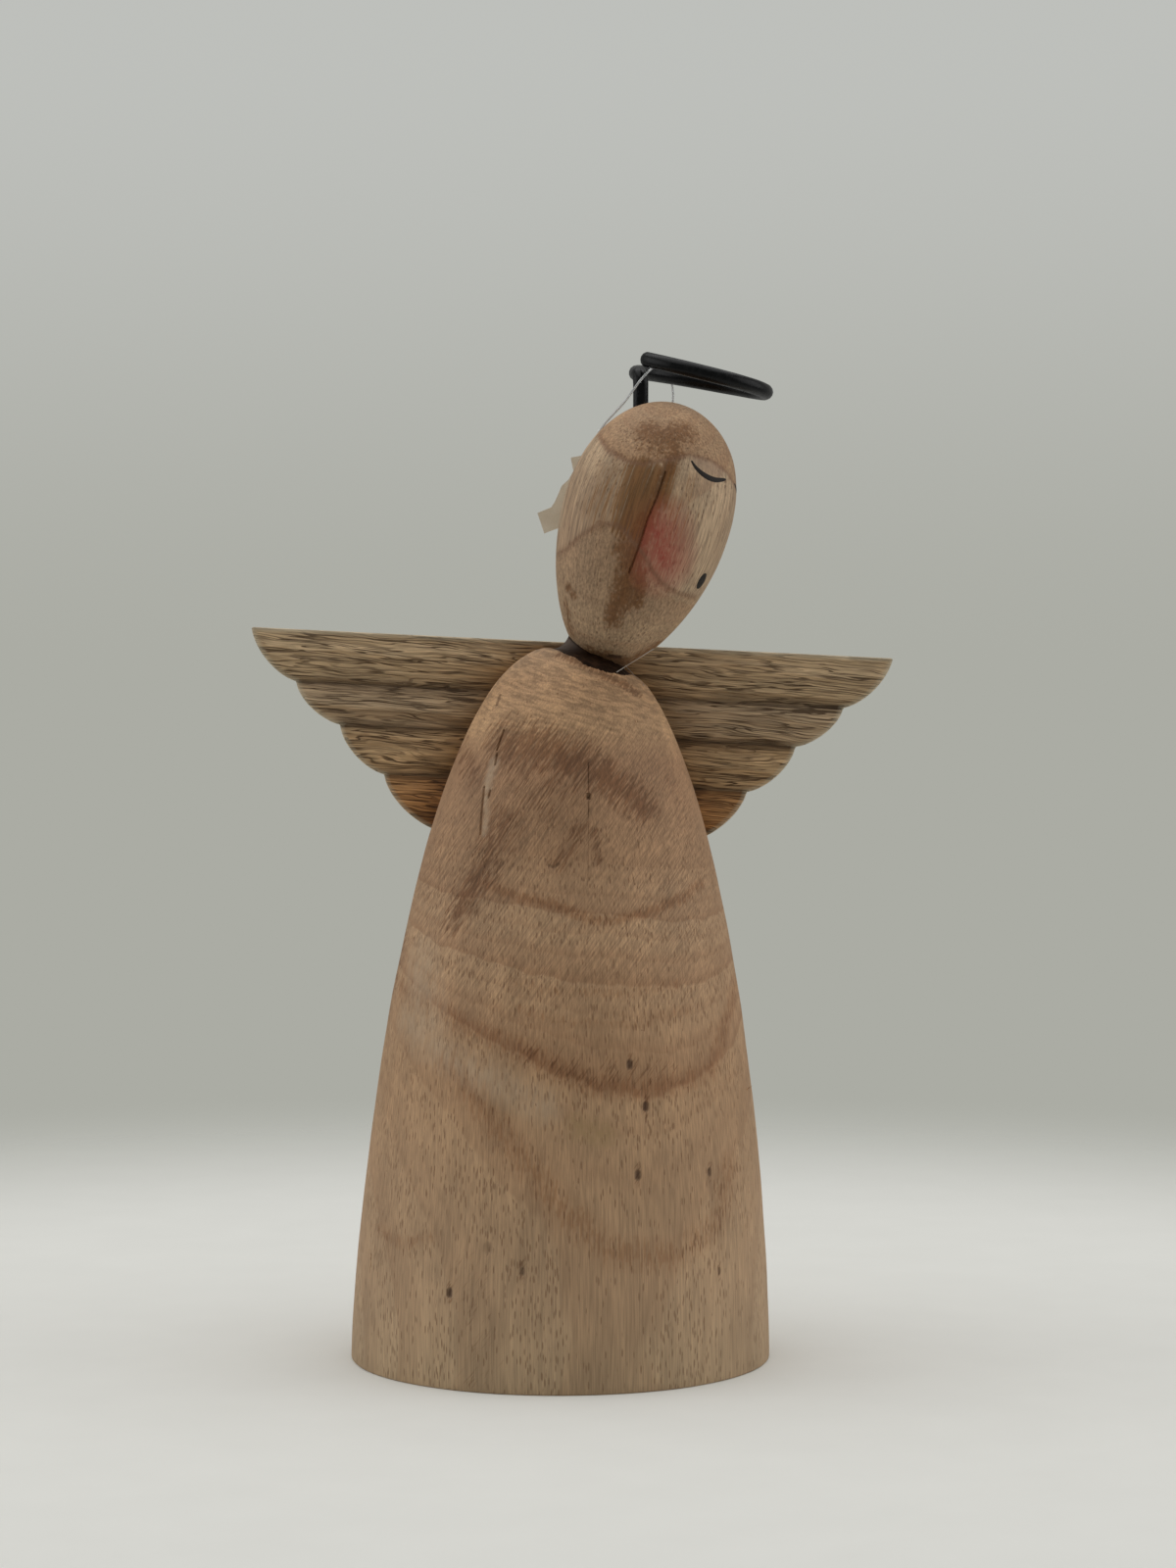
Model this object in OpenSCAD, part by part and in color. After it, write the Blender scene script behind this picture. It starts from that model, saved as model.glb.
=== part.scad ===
// Wooden angel doll: a turned body, an egg head on a dowel, a carved wing board and a wire halo.
// The front faces -Y, +X is the viewer's right, and the origin is the centre of the base.

/* [Body] */
// Diameter of the body at its base
body_base_d = 90.6; // [76:0.2:110]
// Height of the body's rounded top above the base
body_h = 154; // [135:1:190]
// How long the body stays wide on its way up
body_swell = 1.46; // [1.3:0.02:1.8]
// How pointed the top of the body is
body_dome = 0.41; // [0.34:0.01:0.5]
// Lean of the body towards +X, in degrees
body_lean = 0.9; // [0:0.1:2.5]

/* [Neck] */
// Distance of the neck joint from the body's axis, towards +X
neck_offset = 5.9; // [3:0.1:8]
// Height of the neck joint below the body's rounded top
neck_drop = 4.1; // [3:0.1:6]
// Diameter of the wooden dowel
dowel_d = 6; // [4:0.5:8]
// Length of the dowel inside each of the two pieces that it joins
dowel_depth = 13; // [8:0.5:18]
// Radial clearance of the dowel in its bores
dowel_clear = 0.1; // [0.05:0.05:0.2]
// Chamfer on the ends of the dowel
dowel_chamfer = 0.8; // [0.4:0.1:1.5]
// Thickness of the glue between the flats of the head and the body
neck_glue_t = 0.8; // [0.5:0.1:1.2]
// Diameter of the glue collar where it lies on the body
neck_glue_d = 16.4; // [12:0.2:18]
// Diameter of the glue collar where it ends on the head
neck_glue_top_d = 13; // [11:0.2:16]
// Height to which the glue collar climbs up the head
neck_glue_h = 3.4; // [2.4:0.1:4]

/* [Head] */
// Length of the egg along its axis, before its narrow end is cut flat
head_len = 59.2; // [50:0.2:70]
// Diameter of the egg half way along its axis
head_d = 35.9; // [30:0.1:42]
// How much fuller the crown is than the chin
head_taper_share = 0.173; // [0.1:0.005:0.25]
// Tilt of the head from the body's axis, towards +X, in degrees
head_tilt = 17.2; // [10:0.1:22]
// Height of the slice cut off the narrow end
head_flat_cut = 1.6; // [1:0.1:3]

/* [Wings] */
// Span of the wing board from tip to tip
wing_span = 141.6; // [120:0.2:170]
// Height of the wing board from its top edge to its lowest feather
wing_h = 43; // [36:0.5:52]
// Thickness of the wing board at the crests of its feathers
wing_t = 10; // [7:0.5:14]
// Height of the board's top edge above the body's rounded top
wing_top = 0.5; // [-3:0.5:4]
// Roll of the wing board from square to the body, in degrees
wing_roll = 1.9; // [0:0.1:4]
// Distance of the flat wing seat behind the body's axis
wing_seat = 15; // [13:0.5:18]
// Depth of the carved grooves between the feathers
feather_relief = 1.9; // [1:0.1:3]
// Width of the uncarved middle of the board, which lies on the seat
wing_flat_w = 20; // [16:1:24]
// Thickness of the glue film between the board and its seat
wing_glue_t = 0.3; // [0.2:0.05:0.5]
// Clearance under the board in the notch of the body
wing_clear = 0.2; // [0.1:0.05:0.4]

/* [Brads] */
// Diameter of a brad's shank
brad_d = 1.6; // [1.2:0.1:2]
// Diameter of a brad's head
brad_head_d = 3.6; // [3:0.1:4.4]
// Thickness of a brad's head
brad_head_t = 0.8; // [0.6:0.1:1.2]
// Length of a brad with its head and point
brad_len = 23; // [19:0.5:26]
// Length of a brad's point
brad_point = 2; // [1.5:0.1:3]
// Distance between the two brads
brad_pitch = 13; // [10:0.5:15]
// Distance of the brads below the top edge of the board
brad_drop = 25; // [20:0.5:29]
// Radial clearance of a brad in its hole
brad_clear = 0.04; // [0.02:0.01:0.08]

/* [Halo] */
// Diameter of the halo's wire
wire_d = 3.1; // [2:0.1:4]
// Diameter of the ring along the middle of the wire
halo_d = 28.4; // [24:0.2:34]
// Height of the straight post above the crown
halo_post = 4.9; // [4:0.1:10]
// Radius of the bend from the post into the ring
halo_bend_r = 2.5; // [2.2:0.1:5]
// Length of the post inside the head
halo_depth = 12; // [8:0.5:16]
// Radial clearance of the post in its hole
halo_clear = 0.05; // [0.02:0.01:0.1]
// Gap between the free end of the ring and the bend under it
halo_gap = 0.4; // [0.3:0.1:2]
// Angle around the ring, before its leftmost point, at which the bend joins it, in degrees
halo_start = 13; // [0:1:30]
// Angle that the ring covers before its free end, in degrees
halo_sweep = 350; // [300:1:354]
// Slope of the ring down towards +X, in degrees
halo_slope = 11.7; // [5:0.1:20]
// Slope of the ring down towards the front, in degrees
halo_nod = 3.4; // [0:0.1:6]
// Lean of the post back from the head's axis, in degrees
halo_lean = 18.1; // [10:0.1:24]
// Place of the post down from the crown, as an angle on the egg
halo_polar = 26; // [20:0.5:34]
// Place of the post around the head, from +X towards +Y, in degrees
halo_azimuth = 161; // [130:1:200]

/* [Tag] */
// Diameter of the clear nylon loop
loop_d = 0.5; // [0.4:0.05:0.8]
// Width of the paper label
label_w = 11.6; // [9:0.2:14]
// Height of the paper label
label_h = 17.2; // [14:0.2:20]
// Thickness of the paper label
label_t = 0.3; // [0.2:0.05:0.4]

/* [Hidden] */
$fn = 96;

half_turn = 180;
quarter_turn = 90;
full_turn = 360;
// How far a cut runs past the surface that it opens
cut_over = 1;
// Room left at the blind end of a bore
bore_end = 0.5;
// Points along the outline of the body, and along that of the head
body_steps = 40;
head_steps = 60;
// Points along the edge of each feather, and across its carved crest
feather_steps = 9;
crest_steps = 8;
// Power that makes a feather's edge start steep and end flat
feather_round = 4 / 3;
// Ends of the feathers: shares of the half span outwards, and of the board's height downwards
feather_shares = [[1, 0], [0.854, 0.266], [0.711, 0.478], [0.566, 0.722], [0.38, 1]];
// Sides of the halo's wire, rings along its bend, and along its loop
wire_sides = 14;
bend_steps = 6;
ring_steps = 56;
// Sides of the nylon loop, and rings between two points of its route
nylon_sides = 8;
nylon_steps = 4;

body_r = body_base_d / 2;
body_skirt = body_r * tan(body_lean) + cut_over;
neck_h = body_h - neck_drop;
head_flat = head_len / 2 - head_flat_cut;
head_centre = neck_glue_t + head_flat;
dowel_r = dowel_d / 2;
dowel_bore_r = dowel_r + dowel_clear;
wing_back = wing_glue_t + wing_t;
last_feather = len(feather_shares) - 1;
brad_r = brad_d / 2;
brad_hole_r = brad_r + brad_clear;
wire_r = wire_d / 2;
halo_r = halo_d / 2;
halo_rise = wire_d + halo_gap;
upright = body_lean + head_tilt;

// Lower left corner of the label's box, from the centre of the head, in upright axes
label_place = [-22.4, 11.6, 1.2];
// Outline of the label from its lower left corner round to the right, in shares of its width and height
label_shares = [[0.13, 0], [0.72, 0.15], [0.63, 0.41], [0.86, 0.68], [1, 0.8], [0.95, 1], [0.63, 0.96],
                [0.68, 0.79], [0.59, 0.68], [0.46, 0.6], [0.39, 0.49], [0.33, 0.4], [0.26, 0.33], [0, 0.26]];
// Place on the label where both ends of the loop are held, in the same shares
grip_shares = [0.77, 0.78];
// First and last points of the loop's route, from where it leaves the label's front and its back
loop_leaves_front = [0.2, -2.6, 0.5];
loop_meets_back = [0.6, 2.8, 0.1];
// Route of the loop up past the post, over the halo and down behind the head, in the label's axes
loop_route = [[-11, 8, 19.4], [-7.9, 3.8, 24.2], [-3.4, 0.6, 29], [0, 0.4, 33.6], [2.8, 4.6, 36.6],
              [4.6, 12.4, 37.8], [5.6, 19.4, 38.2], [6.8, 23.6, 36.6], [7.6, 24, 32], [6.4, 24, 27],
              [2, 23.6, 20.6], [-4.6, 21, 16]];

function unit(v) = v / norm(v);

// Outline that is spun into the body
function body_radius(z) = body_r * pow(1 - pow(z / body_h, body_swell), body_dome);
function body_height(i) = body_h * sin(quarter_turn * i / body_steps);
function body_outline() = concat(
    [[0, -body_skirt], [body_r, -body_skirt]],
    [for (i = [0:body_steps - 1]) [body_radius(body_height(i)), body_height(i)]],
    [[0, body_h]]);

// Point on the egg's outline at an angle down from the crown
function egg_point(a) = [head_d / 2 * sin(a) * (1 + head_taper_share * cos(a)), head_len / 2 * cos(a)];

// Point where the halo's post enters the crown, in the head's frame
function halo_foot() = let (p = egg_point(halo_polar))
    [p[0] * cos(halo_azimuth), p[0] * sin(halo_azimuth), p[1]];

// One side of the wing outline, from the tip down to the lowest feather, and its mirror image
function feather_end(i) = [wing_span / 2 * feather_shares[i][0], -wing_h * feather_shares[i][1]];
function feather_point(p, q, a) = [p[0] + (q[0] - p[0]) * (1 - pow(cos(a), feather_round)),
                                   p[1] + (q[1] - p[1]) * pow(sin(a), feather_round)];
function feather_edge(i) = [for (k = [0:feather_steps - 1])
    feather_point(feather_end(i), feather_end(i + 1), quarter_turn * k / feather_steps)];
function wing_side() = concat(
    [for (i = [0:last_feather - 1]) each feather_edge(i)], [feather_end(last_feather)]);
function mirrored(points) = [for (i = [len(points) - 1:-1:0]) [-points[i][0], points[i][1]]];

// Carved front of the board from its top edge downwards, as depth behind the seat and height
function groove_point(i) = [wing_glue_t + feather_relief, feather_end(i)[1]];
function feather_crest(i) = let (p = groove_point(i), q = groove_point(i + 1))
    [for (k = [0:crest_steps - 1]) let (s = k / crest_steps)
        p + (q - p) * s - [feather_relief * sin(half_turn * s), 0]];
function wing_front() = concat(
    [for (i = [0:last_feather - 1]) each feather_crest(i)], [groove_point(last_feather)]);

// Path of the halo's wire from the bottom of its hole to the free end of the ring
function ring_across() = [cos(halo_slope), 0, -sin(halo_slope)];
function ring_back() = [0, cos(halo_nod), sin(halo_nod)];
function bend_way() = [-sin(halo_start), cos(halo_start), 0];
function bend_point(a) = halo_bend_r * (1 - cos(a)) * bend_way() + [0, 0, halo_post + halo_bend_r * sin(a)];
function ring_point(a) = bend_point(quarter_turn)
    + halo_r * (cos(halo_start) - cos(a - halo_start)) * ring_across()
    + halo_r * (sin(a - halo_start) + sin(halo_start)) * ring_back()
    + halo_rise * a / full_turn * cross(ring_across(), ring_back());
function halo_path() = concat(
    [[0, 0, bore_end - halo_depth], [0, 0, halo_post / 2]],
    [for (i = [0:bend_steps - 1]) bend_point(quarter_turn * i / bend_steps)],
    [for (i = [0:ring_steps]) ring_point(halo_sweep * i / ring_steps)]);

// Smooth curve through the points of a route
function blend(a, b, c, d, s) = b + ((c - a) * s + (2 * a - 5 * b + 4 * c - d) * s * s
    + (3 * b - a - 3 * c + d) * s * s * s) / 2;
function smooth_route(p, steps) = let (last = len(p) - 1) concat(
    [for (i = [0:last - 1], k = [0:steps - 1])
        blend(p[max(i - 1, 0)], p[i], p[i + 1], p[min(i + 2, last)], k / steps)], [p[last]]);

// Whole path of the nylon loop, with its two ends square on the front and the back of the label
function label_grip() = label_place + [label_w * grip_shares[0], 0, label_h * grip_shares[1]];
function label_front() = label_grip() - [0, label_t / 2, 0];
function label_rear() = label_grip() + [0, label_t / 2, 0];
function loop_points() = concat(
    [label_front() - [0, 2 * loop_d, 0], label_front() + loop_leaves_front], loop_route,
    [label_rear() + loop_meets_back, label_rear() + [0, 2 * loop_d, 0]]);
function loop_path() = concat([label_front()], smooth_route(loop_points(), nylon_steps), [label_rear()]);

// Directions that carry a tube's rings along a path without twist
function tangents(p) = [for (i = [0:len(p) - 1]) unit(p[min(i + 1, len(p) - 1)] - p[max(i - 1, 0)])];
function square_to(n, t) = unit(n - (n * t) * t);
function normals(t, first) = [for (i = 0, n = square_to(first, t[0]); i < len(t);
    i = i + 1, n = square_to(n, t[min(i, len(t) - 1)])) n];

module tube(path, r, sides, first) {
    t = tangents(path);
    n = normals(t, first);
    last = len(path) - 1;
    points = [for (i = [0:last], k = [0:sides - 1]) let (a = full_turn * k / sides)
        path[i] + r * (cos(a) * n[i] + sin(a) * cross(t[i], n[i]))];
    walls = [for (i = [0:last - 1], k = [0:sides - 1])
        let (a = i * sides + k, b = i * sides + (k + 1) % sides)
        each [[a, a + sides, b], [b, a + sides, b + sides]]];
    start_cap = [for (k = [1:sides - 2]) [0, k, k + 1]];
    end_cap = [for (k = [1:sides - 2]) [last * sides, last * sides + k + 1, last * sides + k]];
    polyhedron(points, concat(walls, start_cap, end_cap));
}

module on_body() {
    rotate([0, body_lean, 0]) children();
}

module on_neck() {
    on_body() translate([neck_offset, 0, neck_h]) rotate([0, head_tilt, 0]) children();
}

module on_head() {
    on_neck() translate([0, 0, head_centre]) children();
}

module on_post() {
    on_head() translate(halo_foot()) rotate([0, -halo_lean, 0]) children();
}

module on_wing() {
    on_body() translate([0, wing_seat, body_h + wing_top]) rotate([0, wing_roll, 0]) children();
}

module on_tag() {
    on_head() rotate([0, -upright, 0]) children();
}

// Turned blank of the body, before any cut
module body_blank() {
    on_body() rotate_extrude() polygon(body_outline());
}

// Everything above the slanted flat on the shoulder
module neck_cut() {
    on_neck() translate([-body_r, -body_r, 0]) cube([body_base_d, body_base_d, body_h]);
}

// Bore for one end of the dowel, from its mouth in the given direction
module dowel_bore(up) {
    depth = dowel_depth + bore_end;
    translate([0, 0, up ? -cut_over : -depth]) cylinder(h = depth + cut_over, r = dowel_bore_r);
}

// Round holes at the two brads, from one distance behind the seat to another
module brad_holes(r, from, to) {
    for (side = [-1, 1])
        on_wing() translate([side * brad_pitch / 2, from, -brad_drop]) rotate([-quarter_turn, 0, 0])
            cylinder(h = to - from, r = r);
}

module body() {
    color("#b9936f") difference() {
        body_blank();
        translate([-body_base_d, -body_base_d, -2 * body_skirt])
            cube([2 * body_base_d, 2 * body_base_d, 2 * body_skirt]);
        neck_cut();
        on_neck() dowel_bore(false);
        on_wing() translate([-body_r, 0, -wing_h - wing_clear]) cube([body_base_d, body_r, body_h]);
        brad_holes(brad_hole_r, wing_back - brad_len - bore_end, cut_over);
    }
}

module head_blank() {
    rotate_extrude() polygon([for (i = [0:head_steps]) egg_point(half_turn * (1 - i / head_steps))]);
}

// Everything below the flat at the narrow end of the head
module head_cut() {
    translate([-head_d, -head_d, -head_flat - head_len]) cube([2 * head_d, 2 * head_d, head_len]);
}

module head() {
    color("#b3967c") difference() {
        on_head() difference() {
            head_blank();
            head_cut();
            translate([0, 0, -head_flat]) dowel_bore(true);
        }
        on_post() translate([0, 0, -halo_depth]) cylinder(h = halo_depth + wire_d, r = wire_r + halo_clear);
    }
}

module neck_dowel() {
    dowel_len = 2 * dowel_depth + neck_glue_t;
    color("#c8ac84") on_neck() translate([0, 0, -dowel_depth]) rotate_extrude()
        polygon([[0, 0], [dowel_r - dowel_chamfer, 0], [dowel_r, dowel_chamfer],
                 [dowel_r, dowel_len - dowel_chamfer], [dowel_r - dowel_chamfer, dowel_len], [0, dowel_len]]);
}

module neck_glue() {
    color("#4a3a30") on_neck() difference() {
        cylinder(h = neck_glue_h, d1 = neck_glue_d, d2 = neck_glue_top_d);
        translate([0, 0, -cut_over]) cylinder(h = neck_glue_h + 2 * cut_over, r = dowel_bore_r);
        translate([0, 0, head_centre]) difference() {
            head_blank();
            head_cut();
        }
    }
}

module wing_board() {
    color("#8f7454") difference() {
        on_wing() intersection() {
            translate([0, wing_back, 0]) rotate([quarter_turn, 0, 0]) linear_extrude(wing_t)
                polygon(concat(wing_side(), mirrored(wing_side())));
            union() {
                translate([-wing_span / 2, 0, 0]) rotate([quarter_turn, 0, quarter_turn])
                    linear_extrude(wing_span)
                        polygon(concat(wing_front(), [[wing_back, -wing_h], [wing_back, 0]]));
                translate([-wing_flat_w / 2, wing_glue_t, -wing_h]) cube([wing_flat_w, wing_t, wing_h]);
            }
        }
        brad_holes(brad_hole_r, 0, wing_back + cut_over);
        brad_holes(brad_head_d / 2 + brad_clear, wing_back - brad_head_t, wing_back + cut_over);
    }
}

module wing_glue() {
    color("#6b5540") difference() {
        intersection() {
            body_blank();
            on_wing() translate([-wing_flat_w / 2, 0, -wing_h]) cube([wing_flat_w, wing_glue_t, wing_h]);
        }
        neck_cut();
        brad_holes(brad_hole_r, -cut_over, wing_glue_t + cut_over);
    }
}

module wing_brads() {
    color("#8a8f94") for (side = [-1, 1])
        on_wing() translate([side * brad_pitch / 2, wing_back, -brad_drop]) rotate([quarter_turn, 0, 0])
            rotate_extrude()
                polygon([[0, 0], [brad_head_d / 2, 0], [brad_head_d / 2, brad_head_t], [brad_r, brad_head_t],
                         [brad_r, brad_len - brad_point], [0, brad_len]]);
}

module halo() {
    color("#1c1e20") on_post() tube(halo_path(), wire_r, wire_sides, [1, 0, 0]);
}

module tag_loop() {
    color("#d8dcdc") on_tag() tube(loop_path(), loop_d / 2, nylon_sides, [1, 0, 0]);
}

module tag_label() {
    color("#cfc4ae") on_tag() translate(label_place + [0, label_t / 2, 0]) rotate([quarter_turn, 0, 0])
        linear_extrude(label_t) polygon([for (p = label_shares) [label_w * p[0], label_h * p[1]]]);
}

body();
head();
neck_dowel();
neck_glue();
wing_board();
wing_glue();
wing_brads();
halo();
tag_loop();
tag_label();
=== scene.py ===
# %% [markdown]
# # A wooden angel doll
# This lesson dresses a imported model of a hand-turned angel: a bell-shaped body, an egg head on a dowel,
# a carved wing board, a wire halo and a paper tag on a nylon loop. The imported model already has every
# piece at its real size and place. Here each one gets the surface that the eye expects, so we load the
# model first. The finished looks may not outgrow it.

# %% Load the imported model
import math

import bmesh
import bpy
from mathutils import Matrix, Vector, noise
from mathutils.bvhtree import BVHTree
from mathutils.kdtree import KDTree


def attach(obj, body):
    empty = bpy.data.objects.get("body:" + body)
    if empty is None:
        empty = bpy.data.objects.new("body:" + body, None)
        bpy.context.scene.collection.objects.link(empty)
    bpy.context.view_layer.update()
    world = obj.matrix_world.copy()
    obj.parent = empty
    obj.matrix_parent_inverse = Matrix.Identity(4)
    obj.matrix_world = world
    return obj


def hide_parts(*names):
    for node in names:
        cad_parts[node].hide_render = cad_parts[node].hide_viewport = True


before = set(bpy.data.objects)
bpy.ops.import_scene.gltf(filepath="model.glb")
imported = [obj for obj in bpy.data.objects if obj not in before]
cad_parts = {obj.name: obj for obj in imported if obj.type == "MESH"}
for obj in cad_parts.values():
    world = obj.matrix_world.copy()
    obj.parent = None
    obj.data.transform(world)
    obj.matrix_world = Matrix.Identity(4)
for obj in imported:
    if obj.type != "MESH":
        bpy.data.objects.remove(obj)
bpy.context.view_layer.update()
MM = 0.001
print("nodes:", sorted(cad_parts))

# %% [markdown]
# ## The camera
# The photograph is upright, 1200 by 1600 pixels, taken from a little above the doll's waist. Blender gives
# the sensor's width to the longer side of the picture, so the lens follows from the focal length in pixels
# and the picture's height. A ray through a pixel then finds the place on a piece that the pixel shows, and
# later steps use that to put each crack, knot and stain where it belongs.

# %% Camera
PHOTO_W = 1200
PHOTO_H = 1600
FOCAL_PX = 3562
SENSOR_MM = 36
CAMERA_PLACE = Vector((5.9, -754, 144)) * MM
CAMERA_TURN = math.radians(90 - 1.54)

camera_data = bpy.data.cameras.new("camera")
camera_data.sensor_width = SENSOR_MM
camera_data.lens = FOCAL_PX / PHOTO_H * SENSOR_MM
camera = bpy.data.objects.new("camera", camera_data)
camera.location = CAMERA_PLACE
camera.rotation_euler = (CAMERA_TURN, 0, 0)
bpy.context.scene.collection.objects.link(camera)
bpy.context.scene.camera = camera


def ray_through(px, py):
    """Direction in which the camera looks through a pixel."""
    ray = Vector((px - PHOTO_W / 2, PHOTO_H / 2 - py, -FOCAL_PX))
    ray.rotate(camera.rotation_euler)
    return ray.normalized()


def seen_at(tree, px, py):
    """Point of a piece that the photograph shows at a pixel, or None past its outline."""
    return tree.ray_cast(CAMERA_PLACE, ray_through(px, py))[0]


print("lens in mm:", round(camera_data.lens, 2))

# %% [markdown]
# ## The frames of the pieces
# The body leans a little, the head tilts on the body, and the wing board rolls on its seat. Each piece is
# easiest to model straight, in millimetres, in axes of its own. A matrix then puts the finished mesh in its
# place, and the object itself stays at the origin, unturned, so that patterns never slide on it.

# %% Frames
BODY_D = 90.6
BODY_H = 154
BODY_LEAN = 0.9
NECK_OFFSET = 5.9
NECK_DROP = 4.1
NECK_GLUE_T = 0.8
HEAD_LEN = 59.2
HEAD_D = 35.9
HEAD_TAPER = 0.173
HEAD_TILT = 17.2
HEAD_CUT = 1.6
WING_SEAT = 15
WING_TOP = 0.5
WING_ROLL = 1.9
HEAD_FLAT = HEAD_LEN / 2 - HEAD_CUT


def turn(degrees, axis="Y"):
    return Matrix.Rotation(math.radians(degrees), 4, axis)


def shift(*millimetres):
    return Matrix.Translation(Vector(millimetres) * MM)


def way_at(degrees):
    """Direction at an angle round the Z axis."""
    return turn(degrees, "Z") @ Vector((1, 0, 0))


to_metres = Matrix.Scale(MM, 4)
on_body = turn(BODY_LEAN)
on_neck = on_body @ shift(NECK_OFFSET, 0, BODY_H - NECK_DROP) @ turn(HEAD_TILT)
on_head = on_neck @ shift(0, 0, NECK_GLUE_T + HEAD_FLAT)
on_wing = on_body @ shift(0, WING_SEAT, BODY_H + WING_TOP) @ turn(WING_ROLL)
on_tag = Matrix.Translation(on_head.translation)
print("centre of the head in mm:", [round(v / MM, 2) for v in on_head.translation])

# %% [markdown]
# ## Small helpers for shader nodes
# Materials here are node trees. Writing one line per node keeps them readable: `put` adds a node, `fill`
# gives its sockets plain values or the outputs of other nodes, and the others are the sums, ramps, mixes and
# noises that nearly every material needs. All sizes inside the materials are in millimetres.


# %% Node helpers
def fill(tree, made, sockets):
    """Fills the input sockets of a node with values or with other nodes' outputs."""
    for key, value in sockets.items():
        if isinstance(value, bpy.types.NodeSocket):
            tree.links.new(value, made.inputs[key])
        else:
            made.inputs[key].default_value = value


def put(tree, kind, sockets=None, **settings):
    """Adds a shader node with its settings, and fills its input sockets."""
    made = tree.nodes.new("ShaderNode" + kind)
    for name, value in settings.items():
        setattr(made, name, value)
    fill(tree, made, sockets or {})
    return made


def sums(tree, operation, a, b=0.0):
    return put(tree, "Math", {0: a, 1: b}, operation=operation).outputs[0]


def vectors(tree, operation, a, b=(0, 0, 0)):
    return put(tree, "VectorMath", {0: a, 1: b}, operation=operation).outputs[0]


def ramp(tree, value, start, end, low=0.0, high=1.0):
    """Smooth step from low at start to high at end."""
    sockets = {"Value": value, "From Min": start, "From Max": end, "To Min": low, "To Max": high}
    return put(tree, "MapRange", sockets, interpolation_type="SMOOTHSTEP").outputs[0]


def mix(tree, factor, a, b, blend="MIX"):
    return put(tree, "Mix", {0: factor, 6: a, 7: b}, data_type="RGBA", blend_type=blend).outputs[2]


def tinted(tree, colour, tone, share=1.0):
    """A colour multiplied by a tone, fully or by a share."""
    return mix(tree, share, colour, tone, "MULTIPLY")


def clouds(tree, vector, size, detail=2.0):
    """Soft noise whose patches are about as long as size on each axis."""
    scaled = vectors(tree, "DIVIDE", vector, size)
    return put(tree, "TexNoise", {"Vector": scaled, "Scale": 1.0, "Detail": detail}).outputs[0]


def waves(tree, vector, size, detail=2.0):
    """The same noise, but about zero."""
    return sums(tree, "SUBTRACT", clouds(tree, vector, size, detail), 0.5)


def own_axes(tree, place):
    """Coordinates in millimetres in the axes of a place."""
    sockets = {"Vector": put(tree, "TexCoord").outputs["Object"], "Location": place.translation,
               "Rotation": place.to_euler(), "Scale": (MM, MM, MM)}
    return put(tree, "Mapping", sockets, vector_type="TEXTURE").outputs[0]


def new_material(name, place):
    """A material, its tree, its Principled shader and the piece's own coordinates in millimetres."""
    material = bpy.data.materials.new(name)
    material.use_nodes = True
    tree = material.node_tree
    return material, tree, tree.nodes["Principled BSDF"], own_axes(tree, place)


def bumped(tree, shader, height, distance):
    """Gives a shader relief from a height, with the distance in millimetres."""
    bump = put(tree, "Bump", {"Height": height, "Distance": distance * MM})
    tree.links.new(bump.outputs["Normal"], shader.inputs["Normal"])


# %% [markdown]
# ## The nylon loop
# The tag hangs on a thin clear filament that is tied through the label, runs up past the halo's post, over
# the ring and down behind the head. It could be swept as a mesh, but a curve with a round bevel stays a true
# centreline, so its length can be measured. The points are the route in millimetres from the head's centre.

# %% Loop and label sizes
LOOP_D = 0.5
LABEL_W = 11.6
LABEL_H = 17.2
LABEL_T = 0.3
LABEL_PLACE = Vector((-22.4, 11.6, 1.2))
LABEL_SHARES = [(0.13, 0), (0.72, 0.15), (0.63, 0.41), (0.86, 0.68), (1, 0.8), (0.95, 1), (0.63, 0.96),
                (0.68, 0.79), (0.59, 0.68), (0.46, 0.6), (0.39, 0.49), (0.33, 0.4), (0.26, 0.33), (0, 0.26)]
GRIP_SHARES = (0.77, 0.78)
LOOP_ROUTE = [(-11, 8, 19.4), (-7.9, 3.8, 24.2), (-3.4, 0.6, 29), (0, 0.4, 33.6), (2.8, 4.6, 36.8),
              (4.6, 12.4, 38.4), (5.6, 19.4, 38.9), (6.8, 23.8, 37.1), (7.6, 24.2, 32), (6.4, 24, 27),
              (2, 23.6, 20.6), (-4.6, 21, 16)]
LEAVES_FRONT = Vector((0.2, -2.6, 0.5))
MEETS_BACK = Vector((0.6, 2.8, 0.1))
LOOP_STEPS = 8


def smooth_route(points, steps):
    """Points of a curve that runs smoothly through the given ones."""
    route = [Vector(p) for p in points]
    padded = [route[0], *route, route[-1]]
    curve = []
    for a, b, c, d in zip(padded, padded[1:], padded[2:], padded[3:]):
        for k in range(steps):
            s = k / steps
            bend = (2 * a - 5 * b + 4 * c - d) * s * s + (3 * b - a - 3 * c + d) * s * s * s
            curve.append(b + ((c - a) * s + bend) / 2)
    return curve + [route[-1]]


def length_of(points):
    return sum((b - a).length for a, b in zip(points, points[1:]))


grip = LABEL_PLACE + Vector((LABEL_W * GRIP_SHARES[0], 0, LABEL_H * GRIP_SHARES[1]))
front_hole = grip - Vector((0, LABEL_T / 2, 0))
rear_hole = grip + Vector((0, LABEL_T / 2, 0))
knot_room = Vector((0, 2 * LOOP_D, 0))
loop_route = [front_hole - knot_room, front_hole + LEAVES_FRONT, *LOOP_ROUTE, rear_hole + MEETS_BACK,
              rear_hole + knot_room]
loop_points = [front_hole, *smooth_route(loop_route, LOOP_STEPS), rear_hole]
loop_points = [on_tag @ (p * MM) for p in loop_points]
print("loop length in mm:", round(length_of(loop_points) / MM, 1))


# %% Nylon loop
BEVEL_STEPS = 5


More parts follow.
